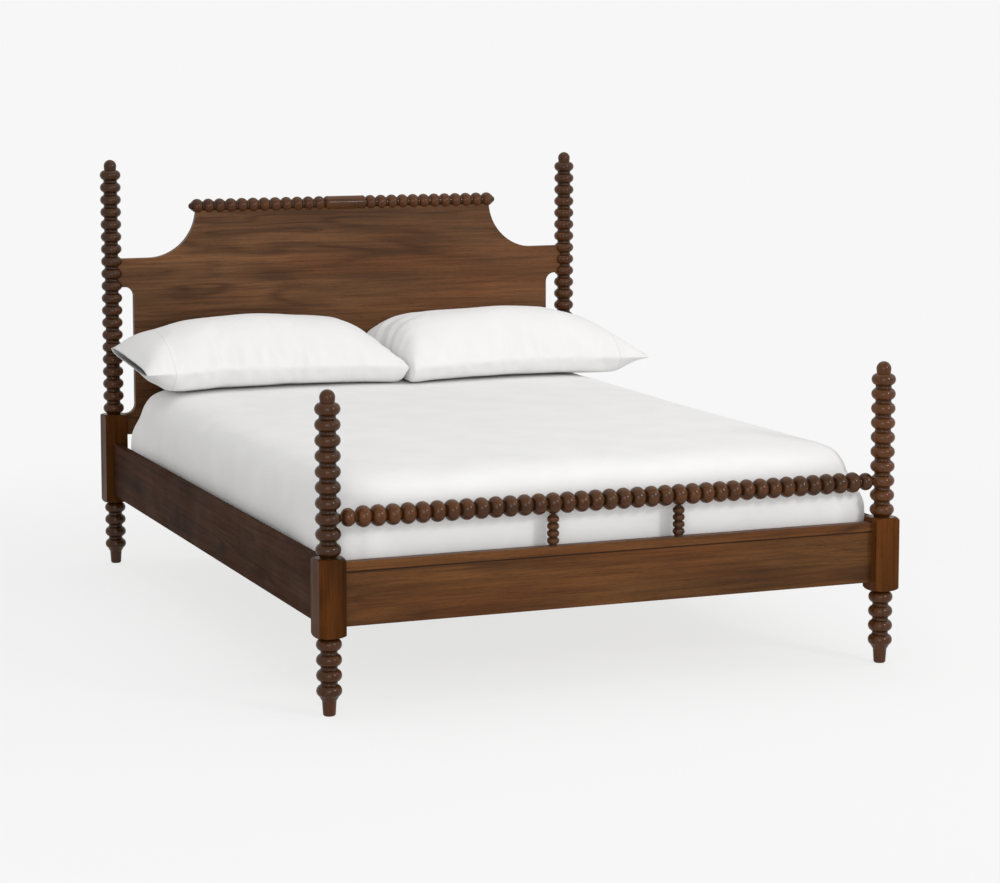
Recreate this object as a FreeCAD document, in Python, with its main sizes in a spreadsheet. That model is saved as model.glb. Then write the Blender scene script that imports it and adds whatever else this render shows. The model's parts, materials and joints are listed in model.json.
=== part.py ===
import FreeCAD, Part

import math
import os

import Sketcher

# Spindle bed, queen size. Millimetres, Z up. The origin is on the floor, midway between the four
# posts. X runs across the bed and Y from the footboard (-Y) to the headboard (+Y).

SIZES = {
    # the mattress sets the spacing of the posts, with these gaps round it
    "mattress_width": 1524.0,
    "mattress_length": 2032.0,
    "mattress_height": 280.0,
    "mattress_side_gap": 16.0,
    "mattress_front_gap": 20.0,
    "mattress_head_gap": 103.0,
    "mattress_corner": 150.0,
    "mattress_top_edge": 80.0,
    "mattress_lower_edge": 45.0,
    "mattress_crown": 6.0,
    # the four posts: square blocks, turned beads
    "block_side": 72.0,
    "block_edge_round": 2.0,
    "head_block_length": 285.0,
    "foot_block_length": 201.0,
    "pommel_rise": 9.0,
    "pommel_inset": 2.5,
    "bead_pitch": 39.5,
    "bead_radius": 33.0,
    "bead_half_length": 14.0,
    "bead_shoulder_radius": 25.0,
    "neck_radius": 21.5,
    "leg_beads": 4,
    "head_post_beads": 20,
    "foot_post_beads": 10,
    "ankle_height": 38.0,
    "ankle_radius": 18.5,
    "toe_radius": 16.3,
    "lowest_bead_height": 64.0,
    "finial_radius": 20.2,
    "finial_waist_rise": 16.6,
    "finial_waist_radius": 19.0,
    "finial_ball_rise": 29.0,
    "glide_thickness": 3.0,
    "glide_radius": 13.5,
    # flat panels and how deep their tongues reach towards the post axis
    "panel_thickness": 22.0,
    "tongue_end": 16.0,
    "head_tongue_in_block": 68.25,
    "scoop_foot_inset": 113.0,
    "scoop_width": 168.0,
    "window_inset": 70.5,
    "window_corner_radius": 30.0,
    "window_height": 409.75,
    "shoulder_depth": 92.0,
    "crown_rise": 149.0,
    "stretcher_height": 90.0,
    "foot_panel_height": 140.0,
    # turned crest rail on the headboard's crown
    "crest_bead_pitch": 37.8,
    "crest_first_bead": 89.0,
    "crest_last_bead_inset": 4.7,
    "crest_bead_radius": 23.5,
    "crest_bead_half_length": 16.4,
    "crest_neck_radius": 15.0,
    "crest_seat_depth": 1.0,
    "crest_barrel_half_length": 71.0,
    "crest_barrel_radius": 22.8,
    "crest_barrel_round": 13.0,
    "crest_button_radius": 11.0,
    "crest_dowel_radius": 5.0,
    "crest_dowel_depth": 22.0,
    "crest_dowel_rise": 11.0,
    # footboard: cap rail, beaded spindle and its two balusters
    "cap_width": 30.0,
    "cap_height": 25.0,
    "cap_groove_depth": 8.0,
    "cap_edge_round": 3.0,
    "spindle_post_bead": 2,
    "spindle_bead_pitch": 39.9,
    "spindle_end_gap": 52.35,
    "spindle_bead_radius": 28.0,
    "spindle_bead_half_length": 19.4,
    "spindle_neck_radius": 13.0,
    "spindle_end_ball_radius": 24.0,
    "spindle_tenon_radius": 10.0,
    "baluster_bead": 4.5,
    "baluster_beads": 4,
    "baluster_bead_pitch": 18.8,
    "baluster_bead_radius": 16.0,
    "baluster_bead_half_length": 8.6,
    "baluster_neck_radius": 10.5,
    "baluster_tenon_radius": 6.0,
    "baluster_tenon_length": 14.0,
    # side rails, ledger cleats, slats
    "rail_reveal": 23.75,
    "rail_height": 168.0,
    "rail_thickness": 25.0,
    "rail_edge_round": 2.5,
    "seat_depth": 74.0,
    "cleat_width": 25.0,
    "cleat_height": 40.0,
    "cleat_end_gap": 40.0,
    "slat_count": 13,
    "slat_width": 72.0,
    "slat_thickness": 18.0,
    "slat_end_clearance": 1.5,
    "slat_row_inset": 110.0,
    # screws
    "screw_radius": 2.25,
    "screw_head_radius": 4.3,
    "screw_head_height": 2.6,
    "cleat_screw_count": 7,
    "cleat_screw_drop": 24.8,
    "cleat_screw_end_gap": 71.0,
    "cleat_screw_length": 42.0,
    "slat_screw_length": 32.0,
    "plate_screw_length": 28.0,
    # knock-down bed rail fittings
    "plate_width": 16.0,
    "plate_length": 130.0,
    "plate_thickness": 3.0,
    "plate_screw_inset": 10.0,
    "hook_spacing": 60.0,
    "hook_thickness": 4.0,
    "hook_height": 22.0,
    "hook_reach": 12.0,
    "hook_lip_drop": 8.0,
    "hook_clearance": 0.4,
    # centre beam, its hangers, the two support legs and their levelling feet
    "beam_width": 45.0,
    "beam_height": 70.0,
    "hanger_thickness": 3.0,
    "hanger_height": 66.0,
    "hanger_back_margin": 20.0,
    "hanger_cheek_height": 46.2,
    "hanger_screw_margin": 9.0,
    "hanger_shelf_length": 42.0,
    "hanger_screw_rise": 16.0,
    "hanger_screw_spread": 26.0,
    "leg_side": 42.0,
    "rear_leg_inset": 330.5,
    "leg_spacing": 680.0,
    "leg_dowel_radius": 6.0,
    "leg_dowel_reach": 25.0,
    "leveler_travel": 12.0,
    "leveler_pad_radius": 16.0,
    "leveler_pad_height": 8.0,
    "leveler_end_gap": 1.0,
    "leveler_stud_radius": 4.0,
    "leveler_stud_reach": 30.0,
    "leveler_bore_clearance": 0.4,
    "insert_wall": 2.2,
    "insert_length": 22.0,
    "insert_flange_radius": 11.0,
    "insert_flange_thickness": 1.6,
    # the two pillows: how far each hangs over the mattress's side and lies from the headboard
    "rest_gap": 0.3,
    "pillow_gap": 8.0,
    "pillow_meeting_x": 48.0,
    "left_pillow_overhang": 44.0,
    "right_pillow_overhang": 64.0,
    "left_pillow_back_gap": 23.5,
    "right_pillow_back_gap": 63.5,
    "pillow_depth": 440.0,
    "pillow_height": 212.0,
    "pillow_seam_height": 84.0,
    "pillow_flat_cut": 14.0,
    "soft_trim_margin": 50.0,
    "pillow_hem_thickness": 30.0,
}

doc = FreeCAD.newDocument("spindle_bed")
sheet = doc.addObject("Spreadsheet::Sheet", "sizes")
for row, (alias, number) in enumerate(SIZES.items(), start=1):
    sheet.set(f"A{row}", alias)
    sheet.set(f"B{row}", str(number))
    sheet.setAlias(f"B{row}", alias)
doc.recompute()

# Heights and places that several pieces share, as expressions over the sheet.
HALF_X = "(sizes.mattress_width / 2 + sizes.mattress_side_gap + sizes.rail_thickness / 2)"
HALF_Y = ("((sizes.mattress_length + sizes.mattress_front_gap + sizes.mattress_head_gap"
          " + sizes.cap_width / 2 + sizes.panel_thickness / 2) / 2)")
BLOCK_BOTTOM = "(sizes.lowest_bead_height + (sizes.leg_beads - 0.5) * sizes.bead_pitch)"
HEAD_BLOCK_TOP = f"({BLOCK_BOTTOM} + sizes.head_block_length)"
FOOT_BLOCK_TOP = f"({BLOCK_BOTTOM} + sizes.foot_block_length)"
PANEL_BOTTOM = f"({HEAD_BLOCK_TOP} - sizes.head_tongue_in_block)"
WINDOW_TOP = f"({HEAD_BLOCK_TOP} + sizes.window_height)"
SHOULDER = f"({WINDOW_TOP} + sizes.shoulder_depth)"
CROWN = f"({SHOULDER} + sizes.crown_rise)"
RAIL_BOTTOM = f"({BLOCK_BOTTOM} + sizes.rail_reveal)"
RAIL_TOP = f"({RAIL_BOTTOM} + sizes.rail_height)"
RAIL_MIDDLE = f"({RAIL_BOTTOM} + sizes.rail_height / 2)"
RAIL_END_Y = f"({HALF_Y} - sizes.block_side / 2)"
RAIL_INNER_X = f"({HALF_X} - sizes.rail_thickness / 2)"
SLAT_TOP = f"({RAIL_TOP} - sizes.seat_depth)"
SLAT_BOTTOM = f"({SLAT_TOP} - sizes.slat_thickness)"
BEAM_BOTTOM = f"({SLAT_BOTTOM} - sizes.beam_height)"
PANEL_FACE_Y = f"({HALF_Y} - sizes.panel_thickness / 2)"
CAP_BOTTOM = f"({RAIL_BOTTOM} + sizes.foot_panel_height)"
CAP_TOP = f"({CAP_BOTTOM} + sizes.cap_height)"
SPINDLE_HEIGHT = f"({FOOT_BLOCK_TOP} + (sizes.spindle_post_bead + 0.5) * sizes.bead_pitch)"
CREST_HEIGHT = f"({CROWN} + sizes.crest_neck_radius - sizes.crest_seat_depth)"
LEG_BOTTOM = "(sizes.leveler_pad_height + sizes.leveler_travel + sizes.leveler_end_gap)"
BORE_RADIUS = "(sizes.leveler_stud_radius + sizes.leveler_bore_clearance)"


def size(expression):
    """The number of millimetres that an expression over the sheet stands for."""
    return float(sheet.evalExpression(expression.replace("sizes.", "")))


def point(x, y, z):
    return FreeCAD.Vector(size(x), size(y), size(z))


def origin_feature(body, role):
    return next(part for part in body.Origin.OriginFeatures if part.Role == role)


def new_body(label, x="0", y="0", z="0"):
    """An empty body whose local origin is at the given place."""
    body = doc.addObject("PartDesign::Body", label)
    body.Label = label
    for axis, place in zip("xyz", (x, y, z)):
        body.setExpression(f"Placement.Base.{axis}", place)
    return body


def rectangle(x_low, y_low, x_high, y_high):
    return [(x_low, y_low), (x_high, y_low), (x_high, y_high), (x_low, y_high)]


def centred(width, length):
    return rectangle(f"-({width}) / 2", f"-({length}) / 2", f"({width}) / 2", f"({length}) / 2")


def pin(sketch, edge, end, x, y):
    """Ties one end of a sketch edge to two expressions."""
    for kind, place in (("DistanceX", x), ("DistanceY", y)):
        number = sketch.addConstraint(Sketcher.Constraint(kind, edge, end, size(place)))
        sketch.setExpression(f"Constraints[{number}]", place)


def end_at(sketch, edge, spot):
    """Which end of an edge, 1 or 2, lies at a spot: arcs in a sketch always run anticlockwise."""
    first = sketch.getPoint(edge, 1)
    return 1 if first.distanceToPoint(spot) < 1e-6 else 2


def draw(body, plane, corners, lift="0"):
    """A closed sketch through corners (x, y). A corner with four values starts an arc that passes
    through its last two."""
    sketch = body.newObject("Sketcher::SketchObject", f"{body.Label}_sketch")
    sketch.AttachmentSupport = [(origin_feature(body, plane), "")]
    sketch.MapMode = "FlatFace"
    sketch.setExpression("AttachmentOffset.Base.z", lift)
    spots = [FreeCAD.Vector(size(corner[0]), size(corner[1]), 0) for corner in corners]
    for number, corner in enumerate(corners):
        start, stop = spots[number], spots[(number + 1) % len(spots)]
        if len(corner) == 4:
            middle = FreeCAD.Vector(size(corner[2]), size(corner[3]), 0)
            sketch.addGeometry(Part.Arc(start, middle, stop))
        else:
            sketch.addGeometry(Part.LineSegment(start, stop))
    for number, corner in enumerate(corners):
        pin(sketch, number, end_at(sketch, number, spots[number]), corner[0], corner[1])
        if len(corner) == 4:
            middle = FreeCAD.Vector(size(corner[2]), size(corner[3]), 0)
            through = sketch.addGeometry(Part.Point(middle), True)
            pin(sketch, through, 1, corner[2], corner[3])
            sketch.addConstraint(Sketcher.Constraint("PointOnObject", through, 1, number))
        after = (number + 1) % len(corners)
        own_end = end_at(sketch, number, spots[after])
        next_end = end_at(sketch, after, spots[after])
        sketch.addConstraint(Sketcher.Constraint("Coincident", number, own_end, after, next_end))
    return sketch


def draw_circle(body, plane, x, y, radius, lift="0"):
    """A sketch of one circle."""
    sketch = body.newObject("Sketcher::SketchObject", f"{body.Label}_circle")
    sketch.AttachmentSupport = [(origin_feature(body, plane), "")]
    sketch.MapMode = "FlatFace"
    sketch.setExpression("AttachmentOffset.Base.z", lift)
    centre = FreeCAD.Vector(size(x), size(y), 0)
    sketch.addGeometry(Part.Circle(centre, FreeCAD.Vector(0, 0, 1), size(radius)))
    pin(sketch, 0, 3, x, y)
    number = sketch.addConstraint(Sketcher.Constraint("Radius", 0, size(radius)))
    sketch.setExpression(f"Constraints[{number}]", radius)
    return sketch


def pad(body, sketch, length, both_ways=False):
    feature = body.newObject("PartDesign::Pad", f"{body.Label}_pad")
    feature.Profile = sketch
    feature.Midplane = both_ways
    feature.setExpression("Length", length)
    return feature


def pocket(body, sketch, depth, both_ways=False, along_normal=False):
    """A cut that goes against the sketch's normal, or along it, or both ways."""
    feature = body.newObject("PartDesign::Pocket", f"{body.Label}_pocket")
    feature.Profile = sketch
    feature.Midplane = both_ways
    feature.Reversed = along_normal
    feature.setExpression("Length", depth)
    return feature


def box_pocket(body, corners, top, height):
    """A box cut whose outline is drawn in plan and whose upper face is at the height top."""
    return pocket(body, draw(body, "XY_Plane", corners, top), height)


def turn(body, corners, axis, kind="PartDesign::Revolution"):
    """A lathe turning, or with a groove a lathe cut, of a profile in the body's XZ plane."""
    sketch = draw(body, "XZ_Plane", corners)
    feature = body.newObject(kind, f"{body.Label}_turning")
    feature.Profile = sketch
    feature.ReferenceAxis = (sketch, [axis])
    feature.Angle = 360
    return feature


def repeat(body, feature, role, pitch, count):
    """A straight row of copies of one feature, the first of them the feature itself."""
    row_of = body.newObject("PartDesign::LinearPattern", f"{body.Label}_row")
    row_of.Originals = [feature]
    row_of.Direction = (origin_feature(body, role), [""])
    row_of.setExpression("Length", f"({pitch}) * (({count}) - 1)")
    row_of.setExpression("Occurrences", count)
    body.Tip = row_of
    return row_of


def round_edges(body, feature, radius, is_wanted):
    """Rounds the edges of the last feature that a test picks."""
    doc.recompute()
    names = [f"Edge{n}" for n, edge in enumerate(feature.Shape.Edges, start=1) if is_wanted(edge)]
    rounded = body.newObject("PartDesign::Fillet", f"{body.Label}_rounding")
    rounded.Base = (feature, names)
    rounded.setExpression("Radius", radius)
    body.Tip = rounded
    return rounded


def runs_along(axis):
    """A test for straight edges parallel to an axis."""
    direction = {"x": FreeCAD.Vector(1, 0, 0), "y": FreeCAD.Vector(0, 1, 0), "z": FreeCAD.Vector(0, 0, 1)}[axis]

    def test(edge):
        if len(edge.Vertexes) != 2:
            return False
        span = edge.Vertexes[1].Point - edge.Vertexes[0].Point
        return abs(span.Length - edge.Length) < 1e-4 and abs(span.dot(direction)) > 0.999 * edge.Length

    return test


def bead(centre, half_length, radius, neck, upright=True):
    """The half section of a turned bead that rises from a neck, about a vertical or level axis."""
    inside = f"({neck}) - 3"
    low, high = f"({centre}) - ({half_length})", f"({centre}) + ({half_length})"
    if upright:
        return [(inside, low), (neck, low, radius, centre), (neck, high), (inside, high)]
    return [(low, inside), (high, inside), (high, neck, centre, radius), (low, neck)]


def post_bead(centre, cove_above=True):
    """The half section of a post's bead, which runs through coves into the necks beside it."""
    inside = "sizes.neck_radius - 3"
    shoulder, neck = "sizes.bead_shoulder_radius", "sizes.neck_radius"
    half, reach = "sizes.bead_half_length", "sizes.bead_pitch / 2"
    bend_x = f"{neck} + 0.27 * ({shoulder} - {neck})"
    bend_z = f"({reach} - 0.586 * ({reach} - {half}))"
    rising = [
        (neck, f"{centre} - {reach}", bend_x, f"{centre} - {bend_z}"),
        (shoulder, f"{centre} - {half}", "sizes.bead_radius", centre),
    ]
    if not cove_above:
        return rising + [(shoulder, f"{centre} + {half}")]
    return [(inside, f"{centre} - {reach}")] + rising + [
        (shoulder, f"{centre} + {half}", bend_x, f"{centre} + {bend_z}"),
        (neck, f"{centre} + {reach}"),
        (inside, f"{centre} + {reach}"),
    ]


def mirrored(label, source, normal):
    """The same piece for the other side of the bed."""
    twin = doc.addObject("Part::Mirroring", label)
    twin.Label = label
    twin.Source = source
    twin.Normal = normal
    return twin


def cut_from(label, base, tools):
    """A piece with the shapes of its screws, dowels or tenons taken out of it."""
    for number, tool in enumerate(tools):
        result = doc.addObject("Part::Cut", f"{label}_drilled_{number}")
        result.Base = base
        result.Tool = tool
        base = result
    base.Label = label
    return base


def solid_feature(label, shape):
    feature = doc.addObject("Part::Feature", label)
    feature.Shape = shape
    feature.Label = label
    return feature


# ---- posts -------------------------------------------------------------------------------------


def turned_post(label, y, block_length, bead_count):
    """A left post: foot, four leg beads, square block with turned pommels, beads and finial."""
    body = new_body(label, f"-{HALF_X}", y)
    block_top = f"({BLOCK_BOTTOM} + {block_length})"
    first_bead = f"({block_top} + sizes.bead_pitch / 2)"
    top_bead = f"({first_bead} + (({bead_count}) - 1) * sizes.bead_pitch)"
    finial_centre = f"({top_bead} + sizes.finial_ball_rise)"
    waist = f"({top_bead} + sizes.finial_waist_rise)"
    cone_top = "sizes.lowest_bead_height - sizes.bead_half_length / 2"
    turn(body, [
        ("0", "sizes.glide_thickness"),
        ("sizes.toe_radius", "sizes.glide_thickness"),
        ("sizes.ankle_radius", "sizes.ankle_height"),
        ("sizes.bead_radius - 3.2", cone_top),
        ("sizes.neck_radius - 1.5", "sizes.lowest_bead_height"),
        ("sizes.neck_radius - 1.5", f"{top_bead} - sizes.bead_pitch / 2"),
        *post_bead(top_bead, cove_above=False),
        ("sizes.finial_waist_radius", waist),
        ("sizes.finial_radius", finial_centre, "sizes.finial_radius * sqrt(0.5)",
         f"{finial_centre} + sizes.finial_radius * sqrt(0.5)"),
        ("0", f"{finial_centre} + sizes.finial_radius"),
    ], "V_Axis")
    block = pad(body, draw(body, "XY_Plane", centred("sizes.block_side", "sizes.block_side"), BLOCK_BOTTOM),
                block_length)
    half = size("sizes.block_side / 2")

    def is_corner(edge):
        place = edge.CenterOfMass
        return runs_along("z")(edge) and abs(abs(place.x) - half) < 0.01 and abs(abs(place.y) - half) < 0.01

    round_edges(body, block, "sizes.block_edge_round", is_corner)
    inner = "(sizes.block_side / 2 - sizes.pommel_inset)"
    outer = "(sizes.block_side * sqrt(0.5) + 1)"
    for end, sign in ((BLOCK_BOTTOM, "+"), (block_top, "-")):
        away = "-" if sign == "+" else "+"
        turn(body, [
            (inner, end, f"({inner} + {outer}) / 2 + 2.5", f"{end} {sign} sizes.pommel_rise * 0.32"),
            (outer, f"{end} {sign} sizes.pommel_rise"),
            (f"{outer} + 6", f"{end} {sign} sizes.pommel_rise"),
            (f"{outer} + 6", f"{end} {away} 1"),
            (inner, f"{end} {away} 1"),
        ], "V_Axis", "PartDesign::Groove")
    for start, count in (("sizes.lowest_bead_height", "sizes.leg_beads"), (first_bead, f"{bead_count} - 1")):
        repeat(body, turn(body, post_bead(start), "V_Axis"), "Z_Axis", "sizes.bead_pitch", count)
    return body


def cut_rail_joint(body, towards):
    """The flush recess for the slotted plate and the pocket behind it, in the face of the block
    that meets the side rail. towards is the sign of Y from the post to the rail."""
    face = "sizes.block_side / 2"
    half_plate = "sizes.plate_width / 2"
    half_pocket = "sizes.hook_thickness / 2 + sizes.hook_clearance * 3"
    floor_of_recess = f"({face} - sizes.plate_thickness)"
    back_of_pocket = f"({face} - sizes.hook_reach - sizes.plate_thickness)"
    top = f"{RAIL_MIDDLE} + sizes.plate_length / 2"
    if towards > 0:
        plate = rectangle(f"-{half_plate}", floor_of_recess, half_plate, f"{face} + 1")
        slot = rectangle(f"-({half_pocket})", back_of_pocket, half_pocket, face)
    else:
        plate = rectangle(f"-{half_plate}", f"-({face}) - 1", half_plate, f"-{floor_of_recess}")
        slot = rectangle(f"-({half_pocket})", f"-({face})", half_pocket, f"-{back_of_pocket}")
    box_pocket(body, plate, top, "sizes.plate_length")
    reach = "(sizes.hook_spacing / 2 + sizes.hook_height + sizes.hook_lip_drop)"
    box_pocket(body, slot, f"{RAIL_MIDDLE} + {reach}", f"2 * {reach}")


def cut_tongue_mortise(body, low, high, thickness="sizes.panel_thickness"):
    """A mortise on the bed side of a left post, open to the block's inner face."""
    outline = rectangle("sizes.tongue_end", f"-({thickness}) / 2", "sizes.block_side / 2 + 1", f"({thickness}) / 2")
    box_pocket(body, outline, high, f"({high}) - ({low})")


head_post = turned_post("headboard_post_body", HALF_Y, "sizes.head_block_length", "sizes.head_post_beads")
cut_rail_joint(head_post, -1)
cut_tongue_mortise(head_post, RAIL_BOTTOM, f"{RAIL_BOTTOM} + sizes.stretcher_height")
cut_tongue_mortise(head_post, PANEL_BOTTOM, HEAD_BLOCK_TOP)
cut_tongue_mortise(head_post, WINDOW_TOP, SHOULDER)

foot_post = turned_post("footboard_post_body", f"-{HALF_Y}", "sizes.foot_block_length", "sizes.foot_post_beads")
cut_rail_joint(foot_post, 1)
cut_tongue_mortise(foot_post, RAIL_BOTTOM, CAP_BOTTOM)
cut_tongue_mortise(foot_post, CAP_BOTTOM, CAP_TOP, "sizes.cap_width")
pocket(foot_post, draw_circle(foot_post, "YZ_Plane", "0", SPINDLE_HEIGHT, "sizes.spindle_tenon_radius",
                              "sizes.tongue_end"), "sizes.bead_radius", along_normal=True)

# ---- headboard: panel, crest rail, lower stretcher -----------------------------------------------


def headboard_outline():
    """The panel's outline from the lower left, up the left side, over the crown and down again."""
    edge = f"({HALF_X} - sizes.tongue_end)"
    side = f"({HALF_X} - sizes.window_inset)"
    lobe = f"({HALF_X} - sizes.window_inset + sizes.window_corner_radius)"
    bend = "sizes.window_corner_radius * sqrt(0.5)"
    low_centre = f"({HEAD_BLOCK_TOP} + sizes.window_corner_radius)"
    top_centre = f"({WINDOW_TOP} - sizes.window_corner_radius)"
    foot_x = f"({HALF_X} - sizes.scoop_foot_inset)"
    crown_x = f"({foot_x} - sizes.scoop_width)"
    scoop_x = f"({foot_x} - sizes.scoop_width * sqrt(0.5))"
    scoop_z = f"{CROWN} - sizes.crown_rise * sqrt(0.5)"
    return [
        (f"-{edge}", PANEL_BOTTOM),
        (edge, PANEL_BOTTOM),
        (edge, HEAD_BLOCK_TOP),
        (lobe, HEAD_BLOCK_TOP, f"{lobe} - {bend}", f"{low_centre} - {bend}"),
        (side, low_centre),
        (side, top_centre, f"{lobe} - {bend}", f"{top_centre} + {bend}"),
        (lobe, WINDOW_TOP),
        (edge, WINDOW_TOP),
        (edge, SHOULDER),
        (foot_x, SHOULDER, scoop_x, scoop_z),
        (crown_x, CROWN),
        (f"-{crown_x}", CROWN, f"-{scoop_x}", scoop_z),
        (f"-{foot_x}", SHOULDER),
        (f"-{edge}", SHOULDER),
        (f"-{edge}", WINDOW_TOP),
        (f"-{lobe}", WINDOW_TOP, f"-{lobe} + {bend}", f"{top_centre} + {bend}"),
        (f"-{side}", top_centre),
        (f"-{side}", low_centre, f"-{lobe} + {bend}", f"{low_centre} - {bend}"),
        (f"-{lobe}", HEAD_BLOCK_TOP),
        (f"-{edge}", HEAD_BLOCK_TOP),
    ]


head_panel = new_body("headboard_panel_body", y=HALF_Y)
pad(head_panel, draw(head_panel, "XZ_Plane", headboard_outline()), "sizes.panel_thickness", both_ways=True)

# The crest's beads fill the crown, as many as fit at about their usual pitch.
crest = new_body("crest_rail_body", y=HALF_Y, z=CREST_HEIGHT)
last_bead = f"({HALF_X} - sizes.scoop_foot_inset - sizes.scoop_width - sizes.crest_last_bead_inset)"
crest_gaps = round(size(f"({last_bead} - sizes.crest_first_bead) / sizes.crest_bead_pitch"))
crest_pitch = f"(({last_bead} - sizes.crest_first_bead) / {crest_gaps})"
button_root = f"({last_bead} + sizes.crest_bead_half_length + 1.5)"
button_bend = "sizes.crest_button_radius * sqrt(0.5)"
barrel_flat = "(sizes.crest_barrel_half_length - sizes.crest_barrel_round)"
barrel_bend = "(sizes.crest_barrel_half_length - sizes.crest_barrel_round * 0.3)"
turn(crest, [
    (f"-{button_root} - sizes.crest_button_radius", "0", f"-{button_root} - {button_bend}", button_bend),
    (f"-{button_root}", "sizes.crest_button_radius"),
    (f"-{button_root}", "sizes.crest_neck_radius"),
    ("-sizes.crest_barrel_half_length", "sizes.crest_neck_radius", f"-{barrel_bend}",
     "sizes.crest_barrel_radius * 0.93"),
    (f"-{barrel_flat}", "sizes.crest_barrel_radius"),
    (barrel_flat, "sizes.crest_barrel_radius", barrel_bend, "sizes.crest_barrel_radius * 0.93"),
    ("sizes.crest_barrel_half_length", "sizes.crest_neck_radius"),
    (button_root, "sizes.crest_neck_radius"),
    (button_root, "sizes.crest_button_radius", f"{button_root} + {button_bend}", button_bend),
    (f"{button_root} + sizes.crest_button_radius", "0"),
], "H_Axis")
for start in (f"-{last_bead}", "sizes.crest_first_bead"):
    crest_bead = turn(crest, bead(start, "sizes.crest_bead_half_length", "sizes.crest_bead_radius",
                                  "sizes.crest_neck_radius", upright=False), "H_Axis")
    repeat(crest, crest_bead, "X_Axis", crest_pitch, str(crest_gaps + 1))
box_pocket(crest, centred(f"2 * {button_root}", "sizes.panel_thickness"),
           "sizes.crest_seat_depth - sizes.crest_neck_radius", "sizes.crest_bead_radius")

stretcher = new_body("headboard_stretcher_body", y=HALF_Y)
BETWEEN_TONGUES = f"2 * ({HALF_X} - sizes.tongue_end)"
pad(stretcher, draw(stretcher, "XY_Plane", centred(BETWEEN_TONGUES, "sizes.panel_thickness"), RAIL_BOTTOM),
    "sizes.stretcher_height")

dowelled_beads = [size(f"sizes.crest_first_bead + {crest_pitch} * {number}") for number in (3, crest_gaps - 2)]
dowel_spots = [-x for x in dowelled_beads] + [0] + dowelled_beads
crest_dowels = solid_feature("crest_dowels", Part.makeCompound([
    Part.makeCylinder(size("sizes.crest_dowel_radius"), size("sizes.crest_dowel_depth + sizes.crest_dowel_rise"),
                      FreeCAD.Vector(x, size(HALF_Y), size(f"{CROWN} - sizes.crest_dowel_depth")))
    for x in dowel_spots]))
headboard_panel = cut_from("headboard_panel", head_panel, [crest_dowels])
crest_rail = cut_from("crest_rail", crest, [crest_dowels])

# ---- footboard: panel, cap rail, beaded spindle, balusters -----------------------------------------

foot_panel = new_body("footboard_panel_body", y=f"-{HALF_Y}")
pad(foot_panel, draw(foot_panel, "XY_Plane", centred(BETWEEN_TONGUES, "sizes.panel_thickness"), RAIL_BOTTOM),
    "sizes.foot_panel_height + sizes.cap_groove_depth")
block_face = f"({HALF_X} - sizes.block_side / 2)"
for low, high in ((f"-{HALF_X}", f"-{block_face}"), (block_face, HALF_X)):
    box_pocket(foot_panel, rectangle(low, "-sizes.panel_thickness", high, "sizes.panel_thickness"),
               f"{CAP_BOTTOM} + sizes.cap_groove_depth", "sizes.cap_groove_depth")

cap = new_body("footboard_cap_body", y=f"-{HALF_Y}")
cap_pad = pad(cap, draw(cap, "XY_Plane", centred(BETWEEN_TONGUES, "sizes.cap_width"), CAP_BOTTOM),
              "sizes.cap_height")
round_edges(cap, cap_pad, "sizes.cap_edge_round",
            lambda edge: runs_along("x")(edge) and edge.CenterOfMass.z > size(CAP_TOP) - 0.01)
box_pocket(cap, centred(f"2 * {block_face}", "sizes.panel_thickness"),
           f"{CAP_BOTTOM} + sizes.cap_groove_depth", "sizes.cap_groove_depth")

# The spindle's beads fill the width between the posts in the same way.
end_ball = f"({HALF_X} - sizes.spindle_end_gap)"
spindle_beads = round(size(f"2 * {end_ball} / sizes.spindle_bead_pitch")) - 1
spindle_pitch = f"(2 * {end_ball} / {spindle_beads + 1})"
first_full = f"({end_ball} - {spindle_pitch})"
ball_half = "(sizes.spindle_bead_half_length - 1.6)"
tenon_tip = f"({HALF_X} - sizes.tongue_end)"
spindle = new_body("footboard_spindle_body", y=f"-{HALF_Y}", z=SPINDLE_HEIGHT)
turn(spindle, [
    (f"-{tenon_tip}", "0"),
    (f"-{tenon_tip}", "sizes.spindle_tenon_radius"),
    (f"-{end_ball}", "sizes.spindle_tenon_radius"),
    (f"-{end_ball}", "sizes.spindle_neck_radius"),
    (end_ball, "sizes.spindle_neck_radius"),
    (end_ball, "sizes.spindle_tenon_radius"),
    (tenon_tip, "sizes.spindle_tenon_radius"),
    (tenon_tip, "0"),
], "H_Axis")
full_bead = turn(spindle, bead(f"-{first_full}", "sizes.spindle_bead_half_length", "sizes.spindle_bead_radius",
                               "sizes.spindle_neck_radius", upright=False), "H_Axis")
repeat(spindle, full_bead, "X_Axis", spindle_pitch, str(spindle_beads))
for centre in (f"-{end_ball}", end_ball):
    turn(spindle, bead(centre, ball_half, "sizes.spindle_end_ball_radius", "sizes.spindle_tenon_radius",
                       upright=False), "H_Axis")

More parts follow.
